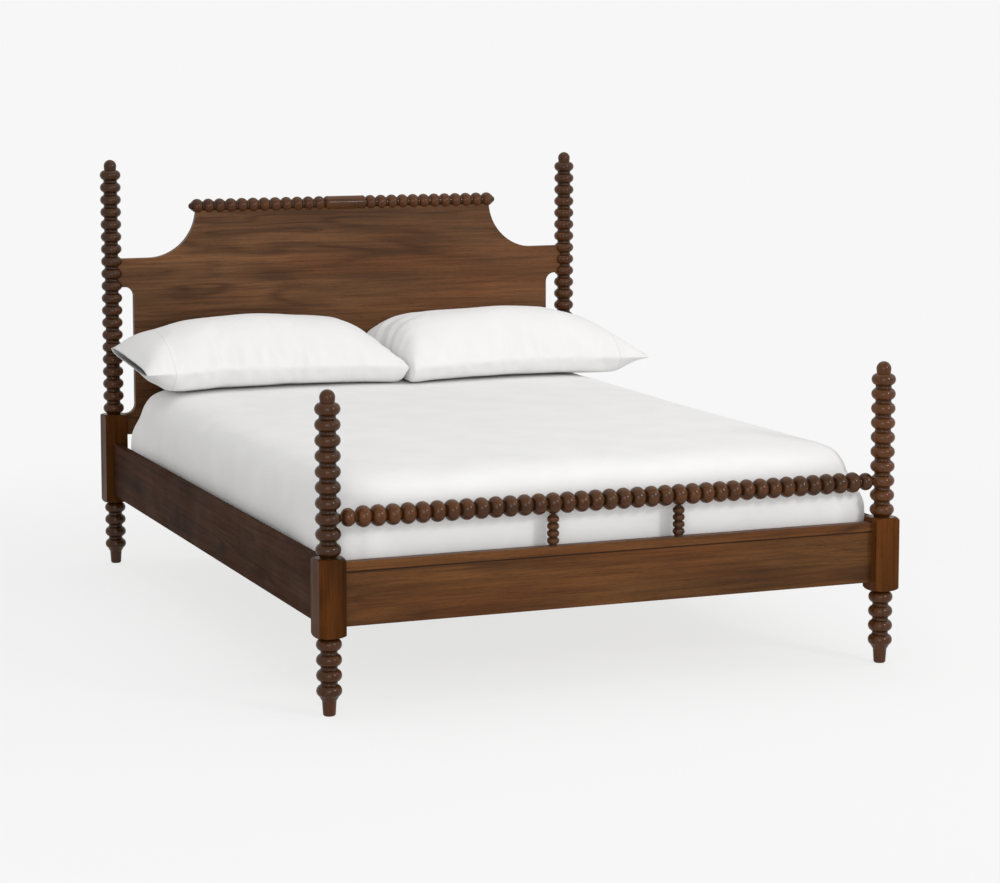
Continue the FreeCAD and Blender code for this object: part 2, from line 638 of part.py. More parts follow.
baluster_x = f"(sizes.baluster_bead * {spindle_pitch})"
turned_height = f"({SPINDLE_HEIGHT} - sizes.spindle_bead_radius - {CAP_TOP})"
lowest = f"({CAP_TOP} + ({turned_height} - sizes.baluster_bead_pitch * (sizes.baluster_beads - 1)) / 2)"
baluster = new_body("baluster_left", x=f"-{baluster_x}", y=f"-{HALF_Y}")
baluster_top = f"({SPINDLE_HEIGHT} - sizes.spindle_bead_radius + sizes.baluster_tenon_length)"
baluster_foot = f"({CAP_TOP} - sizes.baluster_tenon_length)"
turn(baluster, [
    ("0", baluster_foot),
    ("sizes.baluster_tenon_radius", baluster_foot),
    ("sizes.baluster_tenon_radius", CAP_TOP),
    ("sizes.baluster_neck_radius + 2.5", CAP_TOP),
    ("sizes.baluster_neck_radius", f"{CAP_TOP} + 4"),
    ("sizes.baluster_neck_radius", f"{SPINDLE_HEIGHT} - sizes.spindle_bead_radius - 2"),
    ("sizes.baluster_tenon_radius", f"{SPINDLE_HEIGHT} - sizes.spindle_bead_radius - 2"),
    ("sizes.baluster_tenon_radius", baluster_top),
    ("0", baluster_top),
], "V_Axis")
small_bead = turn(baluster, bead(lowest, "sizes.baluster_bead_half_length", "sizes.baluster_bead_radius",
                                 "sizes.baluster_neck_radius"), "V_Axis")
repeat(baluster, small_bead, "Z_Axis", "sizes.baluster_bead_pitch", "sizes.baluster_beads")
baluster_right = mirrored("baluster_right", baluster, FreeCAD.Vector(1, 0, 0))
cap_rail = cut_from("footboard_cap_rail", cap, [baluster, baluster_right])
footboard_spindle = cut_from("footboard_spindle", spindle, [baluster, baluster_right])

# ---- fasteners: countersunk screws as groups of separate solids ------------------------------------


def screw(head_at, direction, length):
    """A countersunk wood screw whose flat head lies at head_at and whose shank follows direction."""
    radius, head = size("sizes.screw_radius"), size("sizes.screw_head_radius")
    depth = size("sizes.screw_head_height")
    cone = Part.makeCone(head, radius, depth, head_at, direction)
    shank = Part.makeCylinder(radius, length - depth, head_at + direction * depth, direction)
    return cone.fuse(shank).removeSplitter()


def both_sides(shapes):
    """The shapes of the left side and their mirror images on the right."""
    return shapes + [shape.mirror(FreeCAD.Vector(), FreeCAD.Vector(1, 0, 0)) for shape in shapes]


cleat_half = size(f"{RAIL_END_Y} - sizes.cleat_end_gap")
cleat_inner = -size(f"{RAIL_INNER_X} - sizes.cleat_width")
screw_count = int(size("sizes.cleat_screw_count"))
cleat_screw_height = size(f"{SLAT_BOTTOM} - sizes.cleat_screw_drop")
slat_count = int(size("sizes.slat_count"))
slat_reach = size(f"{RAIL_END_Y} - sizes.slat_row_inset")
slat_rows = [-slat_reach + 2 * slat_reach * n / (slat_count - 1) for n in range(slat_count)]
screw_reach = cleat_half - size("sizes.cleat_screw_end_gap")
screw_rows = [-screw_reach + 2 * screw_reach * n / (screw_count - 1) for n in range(screw_count)]
cleat_screws = solid_feature("cleat_screws", Part.makeCompound(both_sides([
    screw(FreeCAD.Vector(cleat_inner, y, cleat_screw_height), FreeCAD.Vector(-1, 0, 0),
          size("sizes.cleat_screw_length"))
    for y in screw_rows])))
slat_screw_x = -size(f"{RAIL_INNER_X} - sizes.cleat_width / 2")
slat_screw_sets = [both_sides([
    screw(FreeCAD.Vector(slat_screw_x, y, size(SLAT_TOP)), FreeCAD.Vector(0, 0, -1),
          size("sizes.slat_screw_length"))])
    for y in slat_rows]
slat_screws = solid_feature("slat_screws", Part.makeCompound(sum(slat_screw_sets, [])))

plate_screw_rise = size("sizes.plate_length / 2 - sizes.plate_screw_inset")
plate_face = size(f"{RAIL_END_Y}")
plate_screws_left = [
    screw(FreeCAD.Vector(-size(HALF_X), end * plate_face, size(RAIL_MIDDLE) + side * plate_screw_rise),
          FreeCAD.Vector(0, way * end, 0), size("sizes.plate_screw_length"))
    for end in (-1, 1) for side in (-1, 1) for way in (-1, 1)]
plate_screws = solid_feature("rail_fitting_screws", Part.makeCompound(both_sides(plate_screws_left)))

hanger_screw_height = size(f"{BEAM_BOTTOM} + sizes.hanger_screw_rise")
hanger_face = size(f"{PANEL_FACE_Y} - sizes.hanger_thickness")
hanger_screws = solid_feature("hanger_screws", Part.makeCompound([
    screw(FreeCAD.Vector(side * size("sizes.beam_width / 2 + sizes.hanger_screw_margin"), end * hanger_face,
                         hanger_screw_height + lift), FreeCAD.Vector(0, end, 0), size("sizes.panel_thickness - 3"))
    for end in (-1, 1) for side in (-1, 1) for lift in (0, size("sizes.hanger_screw_spread"))]))

# ---- side rails, cleats, slats -----------------------------------------------------------------------


def plate_recess(body, end):
    """The flush recess for the hook plate in one end of the left side rail."""
    face = f"({RAIL_END_Y})"
    half = "sizes.plate_width / 2"
    inner = f"({face} - sizes.plate_thickness)"
    if end > 0:
        outline = rectangle(f"-{half}", inner, half, f"{face} + 1")
    else:
        outline = rectangle(f"-{half}", f"-{face} - 1", half, f"-{inner}")
    box_pocket(body, outline, f"{RAIL_MIDDLE} + sizes.plate_length / 2", "sizes.plate_length")


rail = new_body("side_rail_body", x=f"-{HALF_X}")
rail_pad = pad(rail, draw(rail, "XY_Plane", centred("sizes.rail_thickness", f"2 * {RAIL_END_Y}"), RAIL_BOTTOM),
               "sizes.rail_height")
round_edges(rail, rail_pad, "sizes.rail_edge_round", runs_along("y"))
for end in (-1, 1):
    plate_recess(rail, end)
side_rail_left = cut_from("side_rail_left", rail, [cleat_screws, plate_screws])
side_rail_right = mirrored("side_rail_right", side_rail_left, FreeCAD.Vector(1, 0, 0))

cleat = new_body("rail_cleat_body", x=f"-({RAIL_INNER_X} - sizes.cleat_width / 2)")
pad(cleat, draw(cleat, "XY_Plane", centred("sizes.cleat_width", f"2 * ({RAIL_END_Y} - sizes.cleat_end_gap)"),
                f"{SLAT_BOTTOM} - sizes.cleat_height"), "sizes.cleat_height")
rail_cleat_left = cut_from("rail_cleat_left", cleat, [cleat_screws, slat_screws])
rail_cleat_right = mirrored("rail_cleat_right", rail_cleat_left, FreeCAD.Vector(1, 0, 0))

slats = []
for number, (y, screws) in enumerate(zip(slat_rows, slat_screw_sets), start=1):
    slat = new_body(f"slat_{number:02d}_body", y=str(y))
    pad(slat, draw(slat, "XY_Plane", centred(f"2 * ({RAIL_INNER_X} - sizes.slat_end_clearance)", "sizes.slat_width"),
                   SLAT_BOTTOM), "sizes.slat_thickness")
    pair = solid_feature(f"slat_{number:02d}_screw_pair", Part.makeCompound(screws))
    slats.append(cut_from(f"slat_{number:02d}", slat, [pair]))

# ---- knock-down fittings between rails and posts -----------------------------------------------------


def hook_levels():
    """Heights at which the underside of each hook rests in its slot."""
    return [f"({RAIL_MIDDLE} - sizes.hook_spacing / 2 - sizes.hook_height / 2)",
            f"({RAIL_MIDDLE} + sizes.hook_spacing / 2 - sizes.hook_height / 2)"]


post_plate = new_body("post_plate_body", x=f"-{HALF_X}", y=RAIL_END_Y)
plate_bottom = f"({RAIL_MIDDLE} - sizes.plate_length / 2)"
pad(post_plate, draw(post_plate, "XY_Plane", rectangle("-sizes.plate_width / 2", "0", "sizes.plate_width / 2",
                                                       "sizes.plate_thickness"), plate_bottom), "sizes.plate_length")
half_slot = "(sizes.hook_thickness / 2 + sizes.hook_clearance)"
for level in hook_levels():
    box_pocket(post_plate, rectangle(f"-{half_slot}", "-1", half_slot, "sizes.plate_thickness + 1"),
               f"{level} + sizes.hook_height + sizes.hook_lip_drop + sizes.hook_clearance",
               "sizes.hook_height + sizes.hook_lip_drop + sizes.hook_clearance")

hook_plate = new_body("rail_hook_body", x=f"-{HALF_X}", y=RAIL_END_Y)
pad(hook_plate, draw(hook_plate, "XY_Plane", rectangle("-sizes.plate_width / 2", "-sizes.plate_thickness",
                                                       "sizes.plate_width / 2", "0"), plate_bottom),
    "sizes.plate_length")
lip_start = "(sizes.plate_thickness + sizes.hook_clearance)"
for level in hook_levels():
    arm = rectangle("-sizes.hook_thickness / 2", "-1", "sizes.hook_thickness / 2", "sizes.hook_reach")
    pad(hook_plate, draw(hook_plate, "XY_Plane", arm, level), "sizes.hook_height")
    lip = rectangle("-sizes.hook_thickness / 2", lip_start, "sizes.hook_thickness / 2", "sizes.hook_reach")
    pad(hook_plate, draw(hook_plate, "XY_Plane", lip, f"{level} - sizes.hook_lip_drop"),
        "sizes.hook_lip_drop + 1")

fittings = []
for name, plain in (("post_plate", post_plate), ("rail_hook", hook_plate)):
    head_left = cut_from(f"{name}_head_left", plain, [plate_screws])
    foot_left = mirrored(f"{name}_foot_left", head_left, FreeCAD.Vector(0, 1, 0))
    fittings += [head_left, foot_left]
    fittings += [mirrored(f"{name}_head_right", head_left, FreeCAD.Vector(1, 0, 0)),
                 mirrored(f"{name}_foot_right", foot_left, FreeCAD.Vector(1, 0, 0))]

headboard_post_left = cut_from("headboard_post_left", head_post, [plate_screws])
headboard_post_right = mirrored("headboard_post_right", headboard_post_left, FreeCAD.Vector(1, 0, 0))
footboard_post_left = cut_from("footboard_post_left", foot_post, [plate_screws])
footboard_post_right = mirrored("footboard_post_right", footboard_post_left, FreeCAD.Vector(1, 0, 0))

glide = Part.makeCylinder(size("sizes.glide_radius"), size("sizes.glide_thickness"))
foot_glides = solid_feature("foot_glides", Part.makeCompound([
    glide.translated(FreeCAD.Vector(x * size(HALF_X), y * size(HALF_Y), 0)) for x in (-1, 1) for y in (-1, 1)]))

# ---- centre beam, hangers, support legs ----------------------------------------------------------------

beam = new_body("centre_beam_body")
pad(beam, draw(beam, "XY_Plane", centred("sizes.beam_width", f"2 * ({PANEL_FACE_Y} - sizes.hanger_thickness)"),
               BEAM_BOTTOM), "sizes.beam_height")
hanger = new_body("hanger_body", y=f"-({PANEL_FACE_Y})")
back_half = "(sizes.beam_width / 2 + sizes.hanger_back_margin)"
pad(hanger, draw(hanger, "XY_Plane", rectangle(f"-{back_half}", "0", back_half, "sizes.hanger_thickness"),
                 f"{BEAM_BOTTOM} - sizes.hanger_thickness"), "sizes.hanger_height")
shelf_half = "(sizes.beam_width / 2 + sizes.hanger_thickness)"
pad(hanger, draw(hanger, "XY_Plane", rectangle(f"-{shelf_half}", "0", shelf_half, "sizes.hanger_shelf_length"),
                 f"{BEAM_BOTTOM} - sizes.hanger_thickness"), "sizes.hanger_thickness")
for side in ("-", ""):
    inner, outer = f"{side}sizes.beam_width / 2", f"{side}{shelf_half}"
    low, high = (outer, inner) if side else (inner, outer)
    cheek = rectangle(low, "0", high, "sizes.hanger_shelf_length")
    pad(hanger, draw(hanger, "XY_Plane", cheek, f"{BEAM_BOTTOM} - sizes.hanger_thickness"),
        "sizes.hanger_cheek_height")
beam_hanger_foot = cut_from("beam_hanger_foot", hanger, [hanger_screws])
beam_hanger_head = mirrored("beam_hanger_head", beam_hanger_foot, FreeCAD.Vector(0, 1, 0))
footboard_panel = cut_from("footboard_panel", foot_panel, [hanger_screws])
headboard_stretcher = cut_from("headboard_stretcher", stretcher, [hanger_screws])

REAR_LEG = f"({HALF_Y} - sizes.rear_leg_inset)"
LEGS = (("front", f"({REAR_LEG} - sizes.leg_spacing)"), ("rear", REAR_LEG))
leg_dowels = solid_feature("leg_dowels", Part.makeCompound([
    Part.makeCylinder(size("sizes.leg_dowel_radius"), size("2 * sizes.leg_dowel_reach"),
                      point("0", y, f"{BEAM_BOTTOM} - sizes.leg_dowel_reach")) for _, y in LEGS]))
centre_beam = cut_from("centre_beam", beam, [leg_dowels])

support_pieces = []
for name, y in LEGS:
    leg = new_body(f"support_leg_{name}_body", y=y)
    pad(leg, draw(leg, "XY_Plane", centred("sizes.leg_side", "sizes.leg_side"), LEG_BOTTOM),
        f"{BEAM_BOTTOM} - {LEG_BOTTOM}")
    bore_top = f"{LEG_BOTTOM} + sizes.leveler_stud_reach"
    pocket(leg, draw_circle(leg, "XY_Plane", "0", "0", BORE_RADIUS, bore_top), "sizes.leveler_stud_reach + 1")
    insert = new_body(f"leveler_insert_{name}", y=y)
    insert_radius = f"({BORE_RADIUS} + sizes.insert_wall)"
    flange_top = f"({LEG_BOTTOM} + sizes.insert_flange_thickness)"
    turn(insert, [
        (BORE_RADIUS, LEG_BOTTOM),
        ("sizes.insert_flange_radius", LEG_BOTTOM),
        ("sizes.insert_flange_radius", flange_top),
        (insert_radius, flange_top),
        (insert_radius, f"{LEG_BOTTOM} + sizes.insert_length"),
        (BORE_RADIUS, f"{LEG_BOTTOM} + sizes.insert_length"),
    ], "V_Axis")
    support_pieces += [cut_from(f"support_leg_{name}", leg, [insert, leg_dowels]), insert]
    leveler = new_body(f"leveler_{name}", y=y)
    stud_top = f"{LEG_BOTTOM} + sizes.leveler_stud_reach - sizes.leveler_travel - sizes.leveler_end_gap"
    turn(leveler, [
        ("0", "0"),
        ("sizes.leveler_pad_radius - 1", "0"),
        ("sizes.leveler_pad_radius", "1"),
        ("sizes.leveler_pad_radius", "sizes.leveler_pad_height - 3"),
        ("sizes.leveler_stud_radius + 4", "sizes.leveler_pad_height"),
        ("sizes.leveler_stud_radius", "sizes.leveler_pad_height"),
        ("sizes.leveler_stud_radius", stud_top),
        ("0", stud_top),
    ], "V_Axis")
    support_pieces.append(leveler)

# ---- mattress and pillows -----------------------------------------------------------------------------


def rounded_rectangle(half_x, half_y, corner, z):
    """A level wire of four lines and four quarter arcs."""
    edges = []
    bend = corner * math.sqrt(0.5)
    for sx, sy in ((1, 1), (-1, 1), (-1, -1), (1, -1)):
        centre = FreeCAD.Vector(sx * (half_x - corner), sy * (half_y - corner), z)
        on_x, on_y = centre + FreeCAD.Vector(sx * corner, 0, 0), centre + FreeCAD.Vector(0, sy * corner, 0)
        start, stop = (on_x, on_y) if sx * sy > 0 else (on_y, on_x)
        edges.append(Part.Arc(start, centre + FreeCAD.Vector(sx * bend, sy * bend, 0), stop).toShape())
    joined = []
    for number, edge in enumerate(edges):
        following = edges[(number + 1) % 4]
        joined += [edge, Part.makeLine(edge.Vertexes[-1].Point, following.Vertexes[0].Point)]
    return Part.Wire(joined)


def make_mattress():
    """A soft block: rounded corners, sides that swell and draw in below, a rolled edge, a crown."""
    half_x, half_y = size("sizes.mattress_width / 2"), size("sizes.mattress_length / 2")
    height, crown = size("sizes.mattress_height"), size("sizes.mattress_crown")
    lower, upper = size("sizes.mattress_lower_edge"), size("sizes.mattress_top_edge")
    levels = []
    for angle in (-75, -50, -25, 0):
        turned = math.radians(angle)
        levels.append((lower * (math.sin(turned) + math.sin(math.radians(75))), lower * (1 - math.cos(turned))))
    levels.append((height * 0.5, 0))
    for angle in (0, 20, 40, 60, 80):
        turned = math.radians(angle)
        levels.append((height + 2 - upper * (1 - math.sin(turned)), upper * (1 - math.cos(turned))))
    wires = [rounded_rectangle(half_x - inset, half_y - inset, size("sizes.mattress_corner") - inset / 2, z)
             for z, inset in levels]
    block = Part.makeLoft(wires, True, False, False, 3)
    margin = size("sizes.soft_trim_margin")
    sides = [FreeCAD.Vector(x * (half_x + margin), -half_y - margin, z) for x, z in
             ((-1, -margin), (1, -margin), (1, height - crown), (-1, height - crown))]
    arch = Part.Arc(sides[2], FreeCAD.Vector(0, sides[0].y, height), sides[3]).toShape()
    outline = Part.Wire([Part.makeLine(sides[3], sides[0]), Part.makeLine(sides[0], sides[1]),
                         Part.makeLine(sides[1], sides[2]), arch])
    under_crown = Part.Face(outline).extrude(FreeCAD.Vector(0, 2 * (half_y + margin), 0))
    feature = solid_feature("mattress", block.common(under_crown).Solids[0])
    middle_y = f"-{HALF_Y} + sizes.cap_width / 2 + sizes.mattress_front_gap + sizes.mattress_length / 2"
    feature.Placement = FreeCAD.Placement(point("0", middle_y, f"{SLAT_TOP} + sizes.rest_gap"), FreeCAD.Rotation())
    return feature


def make_pillow(label, sign, overhang, back_gap):
    """A pillow in its case: lens sections from the open hem to the closed end, flat underneath."""
    depth = size("sizes.pillow_depth")
    outer_x = size(f"sizes.mattress_width / 2 + {overhang}")
    length = outer_x - sign * size("sizes.pillow_meeting_x") - size("sizes.pillow_gap / 2")
    height, seam = size("sizes.pillow_height"), size("sizes.pillow_seam_height")
    hem, flat = size("sizes.pillow_hem_thickness"), size("sizes.pillow_flat_cut")
    sections = [(0.0, 1.0, 0.0), (0.04, 0.99, 0.35), (0.09, 0.97, 0.62), (0.25, 0.95, 0.90), (0.46, 0.94, 1.0),
                (0.68, 0.94, 0.97), (0.84, 0.95, 0.86), (0.92, 0.97, 0.64), (0.965, 0.99, 0.36), (1.0, 1.0, 0.0)]
    wires = []
    for share, width, swell in sections:
        x = sign * (outer_x - share * length)
        rise = hem / 2 + (height - seam - hem / 2) * swell
        fall = hem / 2 + (seam + flat - hem / 2) * swell
        front = FreeCAD.Vector(x, -depth / 2 * width, 0)
        back = FreeCAD.Vector(x, depth / 2 * width, 0)
        upper = Part.Arc(front, FreeCAD.Vector(x, 0, rise), back).toShape()
        lower = Part.Arc(back, FreeCAD.Vector(x, 0, -fall), front).toShape()
        wires.append(Part.Wire([upper, lower]))
    shape = Part.makeLoft(wires, True, False)
    beneath = Part.makeBox(3 * length, 2 * depth, 3 * height,
                           FreeCAD.Vector(-1.5 * length, -depth, -seam - 3 * height))
    shape = shape.cut(beneath)
    feature = solid_feature(label, shape.Solids[0])
    rest = f"{SLAT_TOP} + 2 * sizes.rest_gap + sizes.mattress_height + sizes.pillow_seam_height"
    centre_y = f"{PANEL_FACE_Y} - {back_gap} - sizes.pillow_depth / 2"
    feature.Placement = FreeCAD.Placement(point("0", centre_y, rest), FreeCAD.Rotation())
    return feature


mattress = make_mattress()
pillow_left = make_pillow("pillow_left", -1, "sizes.left_pillow_overhang", "sizes.left_pillow_back_gap")
pillow_right = make_pillow("pillow_right", 1, "sizes.right_pillow_overhang", "sizes.right_pillow_back_gap")

# ---- check every object, then write one file for each piece ----------------------------------------------

PIECES = [
    headboard_post_left, headboard_post_right, headboard_panel, crest_rail, crest_dowels, headboard_stretcher,
    footboard_post_left, footboard_post_right, footboard_panel, cap_rail, footboard_spindle, baluster,
    baluster_right, foot_glides, side_rail_left, side_rail_right, rail_cleat_left, rail_cleat_right, cleat_screws,
    *slats, slat_screws, *fittings, plate_screws, centre_beam, beam_hanger_foot, beam_hanger_head, hanger_screws,
    leg_dowels, *support_pieces, mattress, pillow_left, pillow_right,
]

doc.recompute()
for item in doc.Objects:
    if "Invalid" in item.State or "Error" in item.State:
        raise RuntimeError(f"{item.Label} failed: {item.State}")
for piece in PIECES:
    if piece.Shape.isNull() or not piece.Shape.isValid() or piece.Shape.Volume <= 0:
        raise RuntimeError(f"{piece.Label} has no valid solid")

os.makedirs("parts", exist_ok=True)
for piece in PIECES:
    piece.Shape.exportStep(f"parts/{piece.Label}.step")
print(len(PIECES), "pieces written")
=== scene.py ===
"""Spindle bed: wood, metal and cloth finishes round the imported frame, a made-up mattress and two pillows.

The frame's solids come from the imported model. This script dresses them, replaces the mattress and the
pillows by cloth pieces, and sets up a plain pale studio.
"""

from __future__ import annotations

import json
import logging
import math
import random
from dataclasses import dataclass, field
from enum import Enum

import bmesh
import bpy
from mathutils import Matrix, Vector, noise

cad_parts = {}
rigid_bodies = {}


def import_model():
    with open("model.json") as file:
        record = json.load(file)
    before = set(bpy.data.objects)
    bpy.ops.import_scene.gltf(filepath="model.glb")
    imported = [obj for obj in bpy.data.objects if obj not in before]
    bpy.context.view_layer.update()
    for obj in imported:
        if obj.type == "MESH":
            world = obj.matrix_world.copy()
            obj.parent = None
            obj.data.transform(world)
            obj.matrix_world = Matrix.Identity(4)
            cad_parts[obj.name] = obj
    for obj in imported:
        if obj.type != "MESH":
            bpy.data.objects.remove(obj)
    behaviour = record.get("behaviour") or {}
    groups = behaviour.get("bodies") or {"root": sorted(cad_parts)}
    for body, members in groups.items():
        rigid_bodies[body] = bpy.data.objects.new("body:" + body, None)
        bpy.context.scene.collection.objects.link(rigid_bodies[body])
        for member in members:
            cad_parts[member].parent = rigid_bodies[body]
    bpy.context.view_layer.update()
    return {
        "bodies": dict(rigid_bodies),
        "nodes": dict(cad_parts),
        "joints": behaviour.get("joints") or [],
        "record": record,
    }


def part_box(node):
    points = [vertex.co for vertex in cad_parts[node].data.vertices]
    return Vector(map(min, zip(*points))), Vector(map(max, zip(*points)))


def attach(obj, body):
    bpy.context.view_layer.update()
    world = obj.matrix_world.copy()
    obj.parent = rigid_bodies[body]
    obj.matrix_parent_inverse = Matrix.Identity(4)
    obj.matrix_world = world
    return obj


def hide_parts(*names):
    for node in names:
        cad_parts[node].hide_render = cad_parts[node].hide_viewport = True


LOG = logging.getLogger("spindle_bed")
Colour = tuple[float, float, float]


class Grain(Enum):
    """The way that the long fibres of a piece of wood run, as a turn that brings them onto X."""

    ACROSS_BED = (0.0, 0.0, 0.0)
    ALONG_BED = (0.0, 0.0, -math.pi / 2)
    UPRIGHT = (0.0, math.pi / 2, 0.0)


# Shader node helpers.


class NodeSheet:
    """A thin layer over a node tree that adds nodes and links in one line each."""

    def __init__(self, tree: bpy.types.NodeTree) -> None:
        """Keeps the tree to build in."""
        self.tree = tree

    def add(self, kind: str, settings: dict | None = None,
            **inputs: bpy.types.NodeSocket | float | tuple) -> bpy.types.Node:
        """Adds one node.

        Args:
            kind: the node's type name without its ShaderNode prefix.
            settings: attributes to set on the node.
            inputs: socket values or sockets to link, by name with underscores for spaces, or by
                number with a leading n.

        Returns:
            The new node.
        """
        node = self.tree.nodes.new(kind if kind.startswith("Node") else "ShaderNode" + kind)
        for name, value in (settings or {}).items():
            setattr(node, name, value)
        for name, value in inputs.items():
            key = int(name[1:]) if name[0] == "n" and name[1:].isdigit() else name.replace("_", " ")
            self.feed(node.inputs[key], value)
        return node

    def feed(self, socket: bpy.types.NodeSocket, value: bpy.types.NodeSocket | float | tuple) -> None:
        """Links another node's output to a socket, or sets the socket's own value."""
        if isinstance(value, bpy.types.NodeSocket):
            self.tree.links.new(value, socket)
        else:
            socket.default_value = value

    def math(self, operation: str, *values: bpy.types.NodeSocket | float) -> bpy.types.NodeSocket:
        """Adds a Math node and returns its output."""
        inputs = {f"n{number}": value for number, value in enumerate(values)}
        return self.add("Math", {"operation": operation}, **inputs).outputs[0]

    def noise(self, place: bpy.types.NodeSocket, scale: Colour, detail: float = 2.0, roughness: float = 0.5,
              distortion: float = 0.0) -> bpy.types.NodeSocket:
        """Reads a stretched noise.

        Args:
            place: the coordinates.
            scale: how often the noise changes along each of them.
            detail: how many finer layers it has.
            roughness: how strong those are.
            distortion: how far it swirls.

        Returns:
            The noise's value.
        """
        stretched = self.add("Mapping", n0=place, Scale=scale).outputs[0]
        return self.add("TexNoise", Vector=stretched, Scale=1.0, Detail=detail, Roughness=roughness,
                        Distortion=distortion).outputs[0]

    def ramp(self, value: bpy.types.NodeSocket, low: float, high: float) -> bpy.types.NodeSocket:
        """Maps a value smoothly from 0 at low to 1 at high."""
        node = self.add("MapRange", {"interpolation_type": "SMOOTHSTEP"}, n0=value, n1=low, n2=high)
        return node.outputs[0]

    def mix(self, factor: bpy.types.NodeSocket | float, first: bpy.types.NodeSocket | Colour,
            second: bpy.types.NodeSocket | Colour, blend: str = "MIX") -> bpy.types.NodeSocket:
        """Mixes two colours and returns the result."""
        node = self.add("Mix", {"data_type": "RGBA", "blend_type": blend, "clamp_factor": True})
        for socket, value in ((node.inputs[0], factor), (node.inputs[6], first), (node.inputs[7], second)):
            self.feed(socket, (*value, 1.0) if isinstance(value, tuple) else value)
        return node.outputs[2]

    def finish(self, shader: bpy.types.Node, colour: bpy.types.NodeSocket, roughness: bpy.types.NodeSocket | float,
               relief: bpy.types.NodeSocket) -> None:
        """Feeds a shader its colour, its roughness and its relief."""
        for label, value in (("Base Color", colour), ("Roughness", roughness), ("Normal", relief)):
            self.feed(shader.inputs[label], value)


class EffectGroups:
    """The shader node groups that several finishes share, each built once."""

    def __init__(self) -> None:
        """Builds the groups."""
        self.timber = self._timber()
        self.hollow_shade = self._build_hollow_shade()
        self.weave = self._weave()
        self.handling = self._handling()

    @staticmethod
    def _new(name: str, inputs: list[tuple[str, str, object]], outputs: list[tuple[str, str]]) -> NodeSheet:
        """Starts a group with named sockets.

        Args:
            name: the group's name.
            inputs: name, socket type and default of each input.
            outputs: name and socket type of each output.

        Returns:
            A node sheet over the group, with its input and output nodes as attributes.
        """
        tree = bpy.data.node_groups.new(name, "ShaderNodeTree")
        for label, kind, default in inputs:
            socket = tree.interface.new_socket(name=label, in_out="INPUT", socket_type=kind)
            if default is not None:
                socket.default_value = default
        for label, kind in outputs:
            tree.interface.new_socket(name=label, in_out="OUTPUT", socket_type=kind)
        sheet = NodeSheet(tree)
        sheet.source = sheet.add("NodeGroupInput").outputs
        sheet.target = sheet.add("NodeGroupOutput").inputs
        return sheet

    def _timber(self) -> bpy.types.NodeTree:
        """Long grain along X: growth lines, clouds of tone, warm patches, fibre streaks and pores.

        Returns:
            The node group.
        """
        g = self._new("long_grain_timber", [
            ("Vector", "NodeSocketVector", None),
            ("Board Offset", "NodeSocketVector", (0.0, 0.0, 0.0)),
            ("Figure Scale", "NodeSocketFloat", 1.0),
        ], [
            ("Cloud", "NodeSocketFloat"), ("Lines", "NodeSocketFloat"), ("Warmth", "NodeSocketFloat"),
            ("Fibre", "NodeSocketFloat"), ("Pores", "NodeSocketFloat"), ("Height", "NodeSocketFloat"),
        ])
        place = g.add("VectorMath", {"operation": "ADD"}, n0=g.source["Vector"], n1=g.source["Board Offset"]).outputs[0]
        zoomed = g.add("VectorMath", {"operation": "SCALE"}, n0=place, Scale=g.source["Figure Scale"]).outputs[0]
        swirl = g.noise(zoomed, (0.62, 6.5, 6.5), detail=2.0, roughness=0.5, distortion=0.5)
        rings = g.math("MULTIPLY_ADD", swirl, 92.0, g.math("MULTIPLY", g.noise(zoomed, (2.0, 60.0, 60.0)), 2.4))
        line = g.math("POWER", g.math("MULTIPLY_ADD", g.math("SINE", rings), 0.5, 0.5), 5.0)
        strength = g.ramp(g.noise(zoomed, (1.1, 7.0, 7.0), detail=1.0), 0.42, 0.68)
        lines = g.math("MULTIPLY", line, strength)
        cloud = g.ramp(g.noise(zoomed, (1.3, 9.0, 9.0), detail=3.0, roughness=0.55, distortion=0.3), 0.30, 0.72)
        warmth = g.ramp(g.noise(g.add("Mapping", n0=zoomed, Location=(3.0, 5.0, 7.0)).outputs[0], (1.6, 8.0, 8.0),
                                detail=2.0), 0.36, 0.70)
        broad = g.noise(place, (2.6, 95.0, 95.0), detail=3.0, roughness=0.6)
        fine = g.noise(place, (7.0, 330.0, 330.0), detail=3.0, roughness=0.62)
        fibre = g.math("MULTIPLY_ADD", broad, 0.55, g.math("MULTIPLY", fine, 0.45))
        pores = g.ramp(g.noise(place, (42.0, 1250.0, 1250.0), detail=1.0), 0.60, 0.70)
        height = g.math("SUBTRACT", g.math("MULTIPLY", fine, 0.6), pores)
        for name, value in (("Cloud", cloud), ("Lines", lines), ("Warmth", warmth), ("Fibre", fibre),
                            ("Pores", pores), ("Height", height)):
            g.tree.links.new(value, g.target[name])
        return g.tree

    def _build_hollow_shade(self) -> bpy.types.NodeTree:
        """Painted shade in turned hollows, with the glaze stain that gathers there: 1 at the neck's radius, 0 on the
        bead's crown.

        Returns:
            The node group.
        """
        g = self._new("hollow_shade_and_glaze", [
            ("Across", "NodeSocketFloat", 0.0), ("Beside", "NodeSocketFloat", 0.0),
            ("Neck", "NodeSocketFloat", 0.021), ("Crown", "NodeSocketFloat", 0.033),
        ], [("Hollow", "NodeSocketFloat"), ("Turned", "NodeSocketFloat")])
        square = g.math("ADD", g.math("MULTIPLY", g.source["Across"], g.source["Across"]),
                        g.math("MULTIPLY", g.source["Beside"], g.source["Beside"]))
        radius = g.math("SQRT", square)
        share = g.math("DIVIDE", g.math("SUBTRACT", radius, g.source["Neck"]),
                       g.math("SUBTRACT", g.source["Crown"], g.source["Neck"]))
        g.tree.links.new(g.math("SUBTRACT", 1.0, g.ramp(share, 0.05, 0.8)), g.target["Hollow"])
        g.tree.links.new(g.math("LESS_THAN", share, 1.08), g.target["Turned"])
        return g.tree

